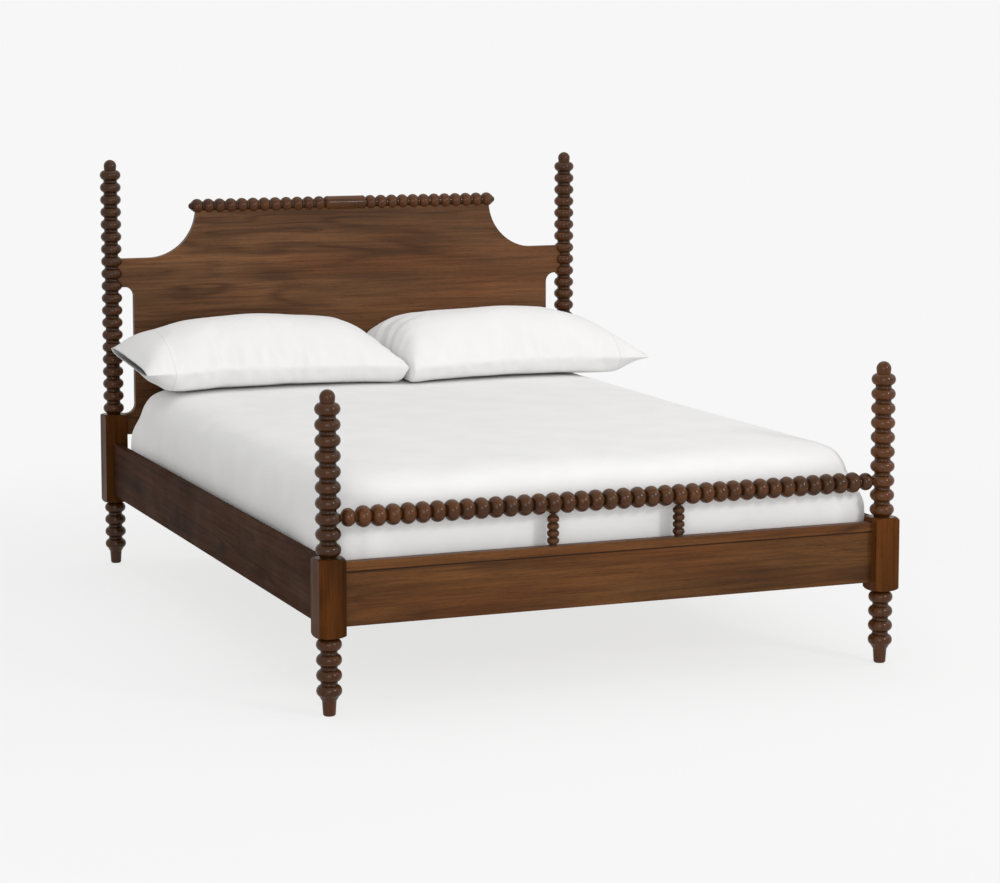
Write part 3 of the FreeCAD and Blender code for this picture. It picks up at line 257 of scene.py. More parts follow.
    def _weave(self) -> bpy.types.NodeTree:
        """A plain weave from two crossed threads, with slubs, on a UV map in metres.

        Returns:
            The node group.
        """
        g = self._new("plain_weave", [
            ("Vector", "NodeSocketVector", None), ("Threads per metre", "NodeSocketFloat", 2200.0),
        ], [("Height", "NodeSocketFloat"), ("Slub", "NodeSocketFloat"), ("Cloud", "NodeSocketFloat")])
        parts = g.add("SeparateXYZ", n0=g.source["Vector"]).outputs
        waves = []
        for axis in (0, 1):
            turns = g.math("MULTIPLY", parts[axis], g.source["Threads per metre"])
            waves.append(g.math("SINE", g.math("MULTIPLY", turns, math.pi)))
        crossed = g.math("MULTIPLY", waves[0], waves[1])
        slubs = [g.noise(g.source["Vector"], scale, detail=3.0, roughness=0.6)
                 for scale in ((30.0, 900.0, 1.0), (900.0, 30.0, 1.0))]
        slub = g.math("MULTIPLY", g.math("ADD", slubs[0], slubs[1]), 0.5)
        cloud = g.add("TexNoise", Vector=g.source["Vector"], Scale=7.0, Detail=3.0, Roughness=0.55).outputs[0]
        g.tree.links.new(g.math("MULTIPLY_ADD", crossed, 0.35, slub), g.target["Height"])
        g.tree.links.new(slub, g.target["Slub"])
        g.tree.links.new(cloud, g.target["Cloud"])
        return g.tree

    def _handling(self) -> bpy.types.NodeTree:
        """Soft uneven sheen where hands and cloths have rubbed a surface.

        Returns:
            The node group.
        """
        g = self._new("handling_sheen", [
            ("Vector", "NodeSocketVector", None), ("Size", "NodeSocketFloat", 9.0),
            ("Low", "NodeSocketFloat", 0.4), ("High", "NodeSocketFloat", 0.55),
        ], [("Roughness", "NodeSocketFloat")])
        cloud = g.add("TexNoise", Vector=g.source["Vector"], Scale=g.source["Size"], Detail=4.0,
                      Roughness=0.6).outputs[0]
        node = g.add("MapRange", n0=cloud, n1=0.3, n2=0.7, n3=g.source["Low"], n4=g.source["High"])
        g.tree.links.new(node.outputs[0], g.target["Roughness"])
        return g.tree


# Finishes.


def start_material(name: str) -> tuple[bpy.types.Material, NodeSheet, bpy.types.Node]:
    """Starts a material.

    Args:
        name: its name.

    Returns:
        The material, a node sheet over its nodes, and its Principled shader.
    """
    material = bpy.data.materials.new(name)
    material.use_nodes = True
    n = NodeSheet(material.node_tree)
    return material, n, n.tree.nodes["Principled BSDF"]


def dress_node(node: bpy.types.Object, material: bpy.types.Material) -> None:
    """Gives a node one material in place of its own, and reports it."""
    node.data.materials.clear()
    node.data.materials.append(material)
    LOG.info("dressed %s in %s", node.name, material.name)


@dataclass(frozen=True)
class Turning:
    """Where the axis of a turned piece runs, so that painted shade and glaze stain can darken its hollows."""

    neck: float
    crown: float
    upright: bool = True
    low: float = -9.0
    high: float = 9.0
    blur: float = 0.004
    across: float = 0.7905
    along: float = 1.0905
    height: float = 0.0


@dataclass(frozen=True)
class WoodFinish:
    """Stained and lacquered hardwood, or bare timber, with its grain along one axis."""

    name: str
    grain: Grain
    light: Colour
    dark: Colour
    offset: Colour = (0.0, 0.0, 0.0)
    figure: float = 1.0
    gloss: tuple[float, float] = (0.34, 0.48)
    shine: float = 0.12
    coat: float = 0.0
    coat_gloss: float = 0.20
    highlight: Colour = (1.0, 0.72, 0.50)
    warm_tint: Colour = (1.20, 0.90, 0.72)
    # Width of a painted shadow line along a joint, where an overhang casts shade.
    cap_shadow_band: tuple[float, float] = (0.0012, 0.0034)
    bump: float = 0.10
    # Height of that painted shadow line, or none.
    cap_shadow_height: float | None = None
    turning: Turning | None = None

    def build(self, groups: EffectGroups) -> bpy.types.Material:
        """Makes the material.

        Args:
            groups: the shared shader groups.

        Returns:
            The finished material.
        """
        material, n, shader = start_material(self.name)
        where = n.add("TexCoord").outputs["Object"]
        run = n.add("Mapping", n0=where, Rotation=self.grain.value).outputs[0]
        timber = n.add("Group", {"node_tree": groups.timber}, Vector=run, Board_Offset=self.offset,
                       Figure_Scale=self.figure).outputs
        colour = n.mix(timber["Cloud"], self.dark, self.light)
        warm = tuple(c * share for c, share in zip(self.light, self.warm_tint))
        colour = n.mix(n.math("MULTIPLY", timber["Warmth"], 0.38), colour, warm)
        colour = n.mix(n.math("MULTIPLY", timber["Lines"], 0.62), colour, tuple(c * 0.55 for c in self.dark))
        streak = n.math("MULTIPLY_ADD", timber["Fibre"], 2.6, -0.30)
        streaks = n.add("CombineColor", n0=streak, n1=streak, n2=streak).outputs[0]
        colour = n.mix(0.80, colour, streaks, "MULTIPLY")
        colour = n.mix(n.math("MULTIPLY", timber["Pores"], 0.5), colour, tuple(c * 0.35 for c in self.dark))
        if self.turning:
            hollow, round_part = self._hollows(n, groups, where)
            colour = n.mix(n.math("MULTIPLY", round_part, 0.24), colour, tuple(c * 0.16 for c in self.light))
            # Painted shade with glaze stain: the turned hollows are darkened towards the dark stain.
            colour = n.mix(n.math("MULTIPLY", hollow, 0.55), colour, tuple(c * 0.42 for c in self.dark))
            n.tree.links.new(n.math("MULTIPLY", round_part, self.coat), shader.inputs["Coat Weight"])
            shader.inputs["Coat Roughness"].default_value = self.coat_gloss
            shader.inputs["Specular Tint"].default_value = (*self.highlight, 1.0)
        # Painted shadow: a dark band along the cap rail's underside, where the cap's overhang shades the panel.
        if self.cap_shadow_height is not None:
            above = n.math("ABSOLUTE", n.math("SUBTRACT", n.add("SeparateXYZ", n0=where).outputs[2], self.cap_shadow_height))
            line = n.math("SUBTRACT", 1.0, n.ramp(above, *self.cap_shadow_band))
            colour = n.mix(n.math("MULTIPLY", line, 0.85), colour, tuple(c * 0.25 for c in self.dark))
        sheen = n.add("Group", {"node_tree": groups.handling}, Vector=run, Low=self.gloss[0],
                      High=self.gloss[1]).outputs[0]
        relief = n.add("Bump", Strength=self.bump, Distance=0.0006, Height=timber["Height"]).outputs[0]
        n.finish(shader, colour, sheen, relief)
        shader.inputs["Specular IOR Level"].default_value = self.shine
        return material

    def _hollows(self, n: NodeSheet, groups: EffectGroups,
                 where: bpy.types.NodeSocket) -> tuple[bpy.types.NodeSocket, bpy.types.NodeSocket]:
        """Measures how deep in a turned hollow a point lies, and whether it lies on a turned part.

        Args:
            n: the material's nodes.
            groups: the shared shader groups.
            where: the object coordinates.

        Returns:
            Two masks: 1 in the hollows, where shade is painted, and 1 on everything that is turned.
        """
        parts = n.add("SeparateXYZ", n0=where).outputs
        beside = n.math("SUBTRACT", n.math("ABSOLUTE", parts[1]), self.turning.along)
        if self.turning.upright:
            across = n.math("SUBTRACT", n.math("ABSOLUTE", parts[0]), self.turning.across)
        else:
            across = n.math("SUBTRACT", parts[2], self.turning.height)
        hollow, round_part = n.add("Group", {"node_tree": groups.hollow_shade}, Across=across, Beside=beside,
                                   Neck=self.turning.neck, Crown=self.turning.crown).outputs
        low, high, blur = self.turning.low, self.turning.high, self.turning.blur
        limits = (n.ramp(parts[2], low - blur, low), n.math("SUBTRACT", 1.0, n.ramp(parts[2], high, high + blur)))
        return n.math("MULTIPLY", hollow, n.math("MULTIPLY", *limits)), round_part


@dataclass(frozen=True)
class MetalFinish:
    """Plated steel with fine rolling lines and faint blotches."""

    name: str
    colour: Colour
    gloss: tuple[float, float] = (0.28, 0.48)

    def build(self, groups: EffectGroups) -> bpy.types.Material:
        """Makes the material.

        Args:
            groups: the shared shader groups.

        Returns:
            The finished material.
        """
        material, n, shader = start_material(self.name)
        where = n.add("TexCoord").outputs["Object"]
        lines = n.noise(where, (900.0, 900.0, 60.0), detail=3.0)
        blotch = n.add("TexNoise", Vector=where, Scale=70.0, Detail=4.0).outputs[0]
        tint = n.mix(blotch, tuple(c * 0.78 for c in self.colour), self.colour)
        sheen = n.add("Group", {"node_tree": groups.handling}, Vector=where, Size=60.0, Low=self.gloss[0],
                      High=self.gloss[1]).outputs[0]
        relief = n.add("Bump", Strength=0.06, Distance=0.0002, Height=lines).outputs[0]
        n.finish(shader, tint, sheen, relief)
        shader.inputs["Metallic"].default_value = 1.0
        return material


@dataclass(frozen=True)
class PlasticFinish:
    """Moulded nylon with a fine spark-eroded texture."""

    name: str
    colour: Colour

    def build(self, groups: EffectGroups) -> bpy.types.Material:
        """Makes the material.

        Args:
            groups: the shared shader groups.

        Returns:
            The finished material.
        """
        material, n, shader = start_material(self.name)
        where = n.add("TexCoord").outputs["Object"]
        speckle = n.add("TexNoise", Vector=where, Scale=2600.0, Detail=2.0).outputs[0]
        cloud = n.add("TexNoise", Vector=where, Scale=45.0, Detail=3.0).outputs[0]
        tint = n.mix(cloud, tuple(c * 0.85 for c in self.colour), tuple(c * 1.1 for c in self.colour))
        sheen = n.add("Group", {"node_tree": groups.handling}, Vector=where, Size=80.0, Low=0.45, High=0.62).outputs[0]
        relief = n.add("Bump", Strength=0.15, Distance=0.0001, Height=speckle).outputs[0]
        n.finish(shader, tint, sheen, relief)
        return material


@dataclass(frozen=True)
class ClothFinish:
    """Cotton percale: a plain weave with slubs and a soft uneven tone, and along a hem a line of painted shade at its
    stitching.
    """

    name: str
    colour: Colour
    shade: Colour
    threads: float = 2200.0
    bump: float = 0.12
    hem_at: float | None = None
    # Width of the painted shade line along the hem's stitching.
    stitch_shade_band: tuple[float, float] = (0.0008, 0.0030)

    def build(self, groups: EffectGroups) -> bpy.types.Material:
        """Makes the material.

        Args:
            groups: the shared shader groups.

        Returns:
            The finished material.
        """
        material, n, shader = start_material(self.name)
        flat = n.add("UVMap", {"uv_map": "cloth"}).outputs[0]
        weave = n.add("Group", {"node_tree": groups.weave}, Vector=flat, Threads_per_metre=self.threads).outputs
        tint = n.mix(n.ramp(weave["Cloud"], 0.25, 0.75), self.shade, self.colour)
        tint = n.mix(n.math("MULTIPLY", n.ramp(weave["Slub"], 0.42, 0.62), 0.10), tint, self.shade)
        # Painted shade: a faint dark line along the hem's stitching, in place of the stitched groove's shade.
        if self.hem_at is not None:
            away = n.math("ABSOLUTE", n.math("SUBTRACT", n.add("SeparateXYZ", n0=flat).outputs[0], self.hem_at))
            stitch_shade = n.math("SUBTRACT", 1.0, n.ramp(away, *self.stitch_shade_band))
            tint = n.mix(n.math("MULTIPLY", stitch_shade, 0.25), tint, tuple(c * 0.6 for c in self.shade))
        relief = n.add("Bump", Strength=self.bump, Distance=0.0003, Height=weave["Height"]).outputs[0]
        n.finish(shader, tint, 0.88, relief)
        shader.inputs["Specular IOR Level"].default_value = 0.25
        shader.inputs["Sheen Weight"].default_value = 0.15
        shader.inputs["Sheen Roughness"].default_value = 0.5
        return material


# Studio.


@dataclass
class Studio:
    """The pale floor, the soft lights and the camera at the photograph's viewing angle."""

    eye: Colour = (-2.925, -7.509, 1.698)
    yaw: float = 0.38455
    pitch: float = 0.1108
    focal_px: float = 2740.5
    shift: float = -0.10
    floor_size: float = 160.0
    room_light: float = 0.64
    backdrop: Colour = (0.930, 0.930, 0.930)
    shadow_depth: float = 0.20
    floor_lift: float = 0.735
    fade: tuple[float, float] = (1.6, 3.6)
    lamps: list[tuple[str, Colour, Colour, float, float]] = field(default_factory=lambda: [
        ("key_softbox", (3.0, -5.8, 3.3), (0.0, -0.6, 0.6), 1.1, 98.0),
        ("side_softbox", (4.2, -1.6, 3.4), (0.0, 0.2, 0.5), 2.0, 22.0),
        ("overhead_softbox", (0.4, 0.3, 4.6), (0.0, 0.0, 0.3), 4.0, 30.0),
        ("front_fill", (-2.6, -6.6, 1.7), (0.0, 0.0, 0.5), 3.0, 88.0),
    ])

    def build(self) -> None:
        """Makes the world, the floor, the lamps and the camera."""
        self._world()
        self._floor()
        for name, place, aim, size, power in self.lamps:
            self._lamp(name, Vector(place), Vector(aim), size, power)
        self._camera()

    @staticmethod
    def _seen(n: NodeSheet) -> bpy.types.NodeSocket:
        """Tells rays that look at the studio from rays that light it.

        Args:
            n: the nodes of the floor or the world.

        Returns:
            1 for camera, glossy and transmission rays, otherwise 0.
        """
        path = n.add("LightPath").outputs
        either = n.math("MAXIMUM", path["Is Camera Ray"], path["Is Glossy Ray"])
        return n.math("MAXIMUM", either, path["Is Transmission Ray"])

    def _world(self) -> None:
        """A soft grey room light that the camera sees as a pale backdrop."""
        world = bpy.data.worlds.new("studio")
        bpy.context.scene.world = world
        world.use_nodes = True
        n = NodeSheet(world.node_tree)
        out = n.tree.nodes["World Output"]
        n.tree.nodes.remove(n.tree.nodes["Background"])
        room = n.add("Background", Color=(1.0, 1.0, 1.0, 1.0), Strength=self.room_light).outputs[0]
        backdrop = n.add("Background", Color=(*self.backdrop, 1.0), Strength=1.0).outputs[0]
        shown = n.add("MixShader", n0=self._seen(n), n1=room, n2=backdrop).outputs[0]
        n.tree.links.new(shown, out.inputs["Surface"])

    def _floor(self) -> None:
        """A wide pale floor that keeps the bed's soft shadow and melts into the backdrop further out."""
        mesh = bpy.data.meshes.new("studio_floor")
        bm = bmesh.new()
        bmesh.ops.create_grid(bm, x_segments=1, y_segments=1, size=self.floor_size / 2)
        bm.to_mesh(mesh)
        bm.free()
        floor = bpy.data.objects.new("studio_floor", mesh)
        bpy.context.scene.collection.objects.link(floor)
        material = bpy.data.materials.new("pale_floor")
        material.use_nodes = True
        n = NodeSheet(material.node_tree)
        out = n.tree.nodes["Material Output"]
        n.tree.nodes.remove(n.tree.nodes["Principled BSDF"])
        matt = n.add("BsdfDiffuse", Color=(0.80, 0.80, 0.80, 1.0)).outputs[0]
        faint = n.add("BsdfDiffuse", Color=(*[self.shadow_depth] * 3, 1.0)).outputs[0]
        lift = n.add("Emission", Color=(1.0, 1.0, 1.0, 1.0), Strength=self.floor_lift).outputs[0]
        near = n.add("AddShader", n0=faint, n1=lift).outputs[0]
        far = n.add("Emission", Color=(*self.backdrop, 1.0), Strength=1.0).outputs[0]
        radius = n.add("VectorMath", {"operation": "LENGTH"}, n0=n.add("TexCoord").outputs["Object"]).outputs[1]
        pale = n.add("MixShader", n0=n.ramp(radius, self.fade[0], self.fade[1]), n1=near, n2=far).outputs[0]
        shown = n.add("MixShader", n0=self._seen(n), n1=matt, n2=pale).outputs[0]
        n.tree.links.new(shown, out.inputs["Surface"])
        mesh.materials.append(material)

    @staticmethod
    def _lamp(name: str, place: Vector, aim: Vector, size: float, power: float) -> None:
        """Adds one square soft light.

        Args:
            name: the lamp's name.
            place: where it hangs.
            aim: the point that it faces.
            size: the length of its side.
            power: its power in watts.
        """
        data = bpy.data.lights.new(name, "AREA")
        data.shape = "SQUARE"
        data.size = size
        data.energy = power
        lamp = bpy.data.objects.new(name, data)
        lamp.location = place
        lamp.rotation_mode = "QUATERNION"
        lamp.rotation_quaternion = (aim - place).to_track_quat("-Z", "Y")
        bpy.context.scene.collection.objects.link(lamp)

    def _camera(self) -> None:
        """Adds the camera, level left to right and tilted down a little."""
        data = bpy.data.cameras.new("photo_camera")
        data.sensor_fit = "HORIZONTAL"
        data.sensor_width = 36.0
        data.lens = self.focal_px / 1000.0 * data.sensor_width
        data.shift_y = self.shift
        data.clip_end = 200.0
        camera = bpy.data.objects.new("photo_camera", data)
        forward = Vector((math.sin(self.yaw) * math.cos(self.pitch), math.cos(self.yaw) * math.cos(self.pitch),
                          -math.sin(self.pitch)))
        camera.location = Vector(self.eye)
        camera.rotation_mode = "QUATERNION"
        camera.rotation_quaternion = forward.to_track_quat("-Z", "Y")
        bpy.context.scene.collection.objects.link(camera)
        bpy.context.scene.camera = camera


# Sub-assemblies.


@dataclass
class WoodFrame:
    """The bed's wooden pieces: posts, panels, rails, spindle, slats and what holds them."""

    groups: EffectGroups
    head_light: Colour = (0.172, 0.078, 0.033)
    head_dark: Colour = (0.082, 0.037, 0.016)
    foot_light: Colour = (0.138, 0.057, 0.0165)
    foot_dark: Colour = (0.056, 0.0225, 0.0075)
    turned_light: Colour = (0.164, 0.060, 0.015)
    turned_dark: Colour = (0.060, 0.022, 0.007)
    # The side rails' stain is darker than the panels'. Part of that darkness is painted shade on their shaded outer
    # sides.
    rail_shaded_light: Colour = (0.058, 0.026, 0.012)
    rail_shaded_dark: Colour = (0.025, 0.0105, 0.005)
    inner_light: Colour = (0.56, 0.39, 0.22)
    inner_dark: Colour = (0.38, 0.23, 0.11)

    def dress(self, nodes: dict[str, bpy.types.Object]) -> None:
        """Gives each wooden node its own board of timber.

        Args:
            nodes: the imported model's nodes by name.
        """
        head_post = Turning(neck=0.0215, crown=0.033, low=0.060, high=1.266)
        foot_post = Turning(neck=0.0215, crown=0.033, low=0.060, high=0.787)
        crest = Turning(neck=0.015, crown=0.0235, upright=False, height=1.152)
        spindle = Turning(neck=0.013, crown=0.028, upright=False, height=0.502)
        baluster = Turning(neck=0.0105, crown=0.016, across=0.17955)
        # The last number of each entry scales that piece's stain. Between the posts it is painted light and shade: the
        # left posts are darker, the head's left post darkest, and the right posts lighter, as the light falls from the
        # right.
        turned = {
            "headboard_post_left": (Grain.UPRIGHT, head_post, 0.50),
            "headboard_post_right": (Grain.UPRIGHT, head_post, 0.76),
            "footboard_post_left": (Grain.UPRIGHT, foot_post, 0.64),
            "footboard_post_right": (Grain.UPRIGHT, foot_post, 0.86),
            "crest_rail": (Grain.ACROSS_BED, crest, 0.80), "footboard_spindle": (Grain.ACROSS_BED, spindle, 0.80),
            "baluster_left": (Grain.UPRIGHT, baluster, 0.72), "baluster_right": (Grain.UPRIGHT, baluster, 0.72),
        }
        for number, (name, (grain, turning, tone)) in enumerate(turned.items()):
            # Scales the stain by the piece's painted light and shade.
            light, dark = (tuple(c * tone for c in stain) for stain in (self.turned_light, self.turned_dark))
            finish = WoodFinish(f"walnut_stain_{name}", grain, light, dark, self._board(number),
                                gloss=(0.30, 0.42), shine=0.03, coat=0.42, turning=turning)
            dress_node(nodes[name], finish.build(self.groups))
        cap_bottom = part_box("footboard_cap_rail")[0][2]
        # The third entry is the height of a painted shadow line under the cap rail, on the footboard panel and on the
        # cap rail itself.
        panels = {"headboard_panel": (self.head_light, self.head_dark, None),
                  "footboard_panel": (self.foot_light, self.foot_dark, cap_bottom),
                  "footboard_cap_rail": (self.foot_light, self.foot_dark, cap_bottom)}
        for number, (name, (light, dark, joint)) in enumerate(panels.items()):
            finish = WoodFinish(f"walnut_stain_{name}", Grain.ACROSS_BED, light, dark, self._board(12 + number),
                                cap_shadow_height=joint)
            dress_node(nodes[name], finish.build(self.groups))
        for number, name in enumerate(("side_rail_left", "side_rail_right")):
            # Darker stain with painted shade for the side rails.
            finish = WoodFinish(f"walnut_stain_{name}", Grain.ALONG_BED, self.rail_shaded_light, self.rail_shaded_dark,
                                self._board(20 + number), gloss=(0.52, 0.66), shine=0.02)
            dress_node(nodes[name], finish.build(self.groups))
        inner = {"headboard_stretcher": Grain.ACROSS_BED, "centre_beam": Grain.ALONG_BED,
                 "rail_cleat_left": Grain.ALONG_BED, "rail_cleat_right": Grain.ALONG_BED,
                 "support_leg_front": Grain.UPRIGHT, "support_leg_rear": Grain.UPRIGHT,
                 "crest_dowels": Grain.UPRIGHT, "leg_dowels": Grain.UPRIGHT}
        inner.update({name: Grain.ACROSS_BED for name in nodes if name.startswith("slat_") and name != "slat_screws"})
        for number, (name, grain) in enumerate(inner.items()):
            finish = WoodFinish(f"bare_pine_{name}", grain, self.inner_light, self.inner_dark,
                                self._board(40 + number), gloss=(0.55, 0.72), shine=0.22, bump=0.2)
            dress_node(nodes[name], finish.build(self.groups))

    @staticmethod
    def _board(number: int) -> Colour:
        """A different place in the timber for each piece."""
        chance = random.Random(number)
        return (chance.uniform(-9, 9), chance.uniform(-9, 9), chance.uniform(-9, 9))


@dataclass
class Fittings:
    """The bed's metal and plastic pieces."""

    groups: EffectGroups
    zinc: Colour = (0.62, 0.62, 0.60)
    nylon: Colour = (0.020, 0.020, 0.021)
    brown_nylon: Colour = (0.12, 0.08, 0.05)

    def dress(self, nodes: dict[str, bpy.types.Object]) -> None:
        """Gives each fitting its finish.

        Args:
            nodes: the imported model's nodes by name.
        """
        steel = MetalFinish("zinc_plated_steel", self.zinc).build(self.groups)
        black = PlasticFinish("black_nylon", self.nylon).build(self.groups)
        brown = PlasticFinish("brown_nylon", self.brown_nylon).build(self.groups)
        for name, node in nodes.items():
            if name.startswith(("post_plate", "rail_hook", "beam_hanger", "leveler_insert")) or "screws" in name:
                chosen = steel
            elif name.startswith("leveler"):
                chosen = black
            elif name == "foot_glides":
                chosen = brown
            else:
                continue
            dress_node(node, chosen)


# Soft goods.


def ease(value: float, low: float, high: float) -> float:
    """Rises smoothly from 0 at low to 1 at high.

    Args:
        value: the number to ease.
        low: where the rise starts.
        high: where it ends.

    Returns:
        A number from 0 to 1.
    """
    share = min(max((value - low) / (high - low), 0.0), 1.0)
    return share * share * (3.0 - 2.0 * share)


def along(table: tuple[tuple[float, float], ...], place: float) -> float:
    """Reads a smooth curve through a short table.

    Args:
        table: pairs of place and value, in rising order of place.
        place: where to read.

    Returns:
        The value there.
    """
    if place <= table[0][0]:
        return table[0][1]
    for number in range(1, len(table)):
        (x0, y0), (x1, y1) = table[number - 1], table[number]
        if place <= x1:
            xa, ya = table[max(number - 2, 0)]
            xb, yb = table[min(number + 1, len(table) - 1)]
            width, part = x1 - x0, (place - x0) / (x1 - x0)
            rise0, rise1 = (y1 - ya) / (x1 - xa) * width, (yb - y0) / (xb - x0) * width
            square, cube = part * part, part ** 3
            return ((2 * cube - 3 * square + 1) * y0 + (cube - 2 * square + part) * rise0
                    + (3 * square - 2 * cube) * y1 + (cube - square) * rise1)
    return table[-1][1]


@dataclass
class ClothWork:
    """What every soft piece shares: a mesh object, a short cloth simulation and even shading."""

    quality: int = 6
    tension: float = 18.0
    bending: float = 0.6

    @staticmethod
    def piece(bm: bmesh.types.BMesh, name: str, material: bpy.types.Material) -> bpy.types.Object:
        """Turns a bmesh into an object with one material and smooth shading.

        Args:
            bm: the mesh, freed here.
            name: the object's name.
            material: its finish.

        Returns:
            The new object, in the scene.
        """
        mesh = bpy.data.meshes.new(name)
        bm.to_mesh(mesh)
        bm.free()
        mesh.materials.append(material)
        mesh.shade_smooth()
        made = bpy.data.objects.new(name, mesh)
        bpy.context.scene.collection.objects.link(made)
        return made

    def inflate(self, made: bpy.types.Object, pressure: float, frames: int, cap: float, pressed: str = "") -> None:
        """Blows a closed piece up like a filled cushion and keeps the result.

        Args:
            made: the piece.
            pressure: the filling's push.
            frames: how long it settles.
            cap: the furthest that a point may move, in metres.
            pressed: the vertex group that the filling pushes on, or nothing for all of it.
        """
        modifier = made.modifiers.new("filling", "CLOTH")
        cloth = modifier.settings
        cloth.quality = self.quality
        cloth.mass = 0.3
        cloth.tension_stiffness = cloth.compression_stiffness = self.tension
        cloth.shear_stiffness = self.tension / 3
        cloth.bending_stiffness = self.bending
        cloth.use_pressure = True
        cloth.uniform_pressure_force = pressure
        cloth.vertex_group_pressure = pressed
        cloth.effector_weights.gravity = 0.0
        modifier.point_cache.frame_start, modifier.point_cache.frame_end = 1, frames
        scene = bpy.context.scene
        for frame in range(1, frames + 1):
            scene.frame_set(frame)
        settled = made.evaluated_get(bpy.context.evaluated_depsgraph_get())
        places = [vertex.co.copy() for vertex in settled.data.vertices]
        made.modifiers.remove(modifier)
        scene.frame_set(1)
        for vertex, place in zip(made.data.vertices, places):
            move = place - vertex.co
            if move.length > cap:
                move *= cap / move.length
            vertex.co += move

    @staticmethod
    def subdivide(made: bpy.types.Object, levels: int = 1) -> None:
        """Adds a smooth subdivision that stays on the piece."""
        modifier = made.modifiers.new("smooth_cloth", "SUBSURF")
        modifier.levels = modifier.render_levels = levels


@dataclass
class Mattress:
    """A mattress in a fitted sheet: a ticking core and a cotton shell that is tucked under it."""

    groups: EffectGroups
    low: Vector
    high: Vector
    cloth_thickness: float = 0.0012
    core_inset: float = 0.007
    block_inset: float = 0.006
    corner: float = 0.15
    top_round: float = 0.080
    bottom_round: float = 0.042
    crown: float = 0.006
    voxel: float = 0.024
    tuck: float = 0.085
    side_depth: float = 0.28
    fullness: float = 0.27
    seam_angle: float = 1.08
    seam_width: float = 0.11
    seam_depth: float = 0.015
    flap_lift: float = 0.007
    side_slack: float = 0.0145
    sheet_white: Colour = (0.865, 0.86, 0.85)
    sheet_shade: Colour = (0.825, 0.82, 0.81)
    ticking: Colour = (0.70, 0.67, 0.61)

    @property
    def middle(self) -> Vector:
        """The centre of the mattress's box."""
        return (self.low + self.high) / 2

    @property
    def half(self) -> Vector:
        """Half of the mattress's box."""
        return (self.high - self.low) / 2

    def top_at(self, x: float) -> float:
        """How high the sheet lies at a distance from the middle line."""
        return self.high.z - self.crown * (x / self.half.x) ** 2

    def build(self) -> tuple[bpy.types.Object, bpy.types.Object]:
        """Makes the core and the sheet.

        Returns:
            The core and the sheet.
        """
        core = self._core()
        sheet = self._sheet(core)
        self._seat(core, self.core_inset)
        self._seat(sheet, 0.0)
        self._drape(sheet)
        for made in (core, sheet):
            self._unroll(made)
        shell = sheet.modifiers.new("cloth_thickness", "SOLIDIFY")
        shell.thickness, shell.offset = self.cloth_thickness, -1.0
        for made in (core, sheet):
            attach(made, "mattress_body")
        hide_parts("mattress")
        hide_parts("mattress")
        LOG.info("mattress: %d and %d faces", len(core.data.polygons), len(sheet.data.polygons))
        return core, sheet

    def _core(self) -> bpy.types.Object:
        """The mattress itself: a rounded block that is remeshed and swelled a little.

        Returns:
            The core.
        """
        bm = bmesh.new()
        bmesh.ops.create_cube(bm, size=2.0)
        bmesh.ops.scale(bm, vec=self.half - Vector([self.block_inset] * 3), verts=bm.verts)
        upright = [e for e in bm.edges if abs(e.verts[0].co.z - e.verts[1].co.z) > 0.01]
        bmesh.ops.bevel(bm, geom=upright, offset=self.corner, segments=7, profile=0.5, affect="EDGES", material=-1)
        for side, offset in ((1, self.top_round), (-1, self.bottom_round)):
            rim = [e for e in bm.edges
                   if all(v.co.z * side > 0 for v in e.verts) and any(abs(f.normal.z) < 0.5 for f in e.link_faces)
                   and any(abs(f.normal.z) > 0.5 for f in e.link_faces)]
            bmesh.ops.bevel(bm, geom=rim, offset=offset, segments=5, profile=0.5, affect="EDGES", material=-1)
        bmesh.ops.translate(bm, vec=self.middle, verts=bm.verts)
        ticking = ClothFinish("mattress_ticking", self.ticking, tuple(c * 0.9 for c in self.ticking), 900.0, 0.3)
        core = ClothWork.piece(bm, "mattress_core", ticking.build(self.groups))
        remesh = core.modifiers.new("even", "REMESH")
        remesh.mode, remesh.voxel_size = "VOXEL", self.voxel
        even = bpy.data.meshes.new_from_object(core.evaluated_get(bpy.context.evaluated_depsgraph_get()))
        core.modifiers.clear()
        core.data = even
        ClothWork(quality=4, tension=30.0, bending=4.0).inflate(core, 3.0, 14, 0.008)
        core.data.shade_smooth()
        return core

    def _seat(self, made: bpy.types.Object, inset: float) -> None:
        """Brings a piece to the mattress's box, less an inset, with its crown.

        Args:
            made: the piece.
            inset: how far inside the box it stays.
        """
        points = [v.co for v in made.data.vertices]
        low = Vector(min(p[i] for p in points) for i in range(3))
        high = Vector(max(p[i] for p in points) for i in range(3))
        reach = self.half - Vector((inset, inset, inset))
        for point in points:
            share = Vector((2 * (point[i] - low[i]) / (high[i] - low[i]) - 1 for i in range(3)))
            point.x, point.y, point.z = (self.middle[i] + share[i] * reach[i] for i in range(3))
            point.z -= self.crown * share.x ** 2 * ease(share.z, 0.0, 1.0)

    def _sheet(self, core: bpy.types.Object) -> bpy.types.Object:
        """The fitted sheet: the core's skin, open underneath inside its hem.

        Args:
            core: the settled core.

        Returns:
            The sheet.
        """
        bm = bmesh.new()
        bm.from_mesh(core.data)
        inside = self.half - Vector((self.tuck, self.tuck, 0))
        under = [f for f in bm.faces if f.normal.z < -0.85
                 and abs(f.calc_center_median().x - self.middle.x) < inside.x - self.bottom_round
                 and abs(f.calc_center_median().y - self.middle.y) < inside.y - self.bottom_round]
        bmesh.ops.delete(bm, geom=under, context="FACES")
        bmesh.ops.smooth_vert(bm, verts=bm.verts, factor=0.5, use_axis_x=True, use_axis_y=True, use_axis_z=True)
        percale = ClothFinish("white_percale_sheet", self.sheet_white, self.sheet_shade)
        sheet = ClothWork.piece(bm, "fitted_sheet", percale.build(self.groups))
        ClothWork.subdivide(sheet)
        return sheet

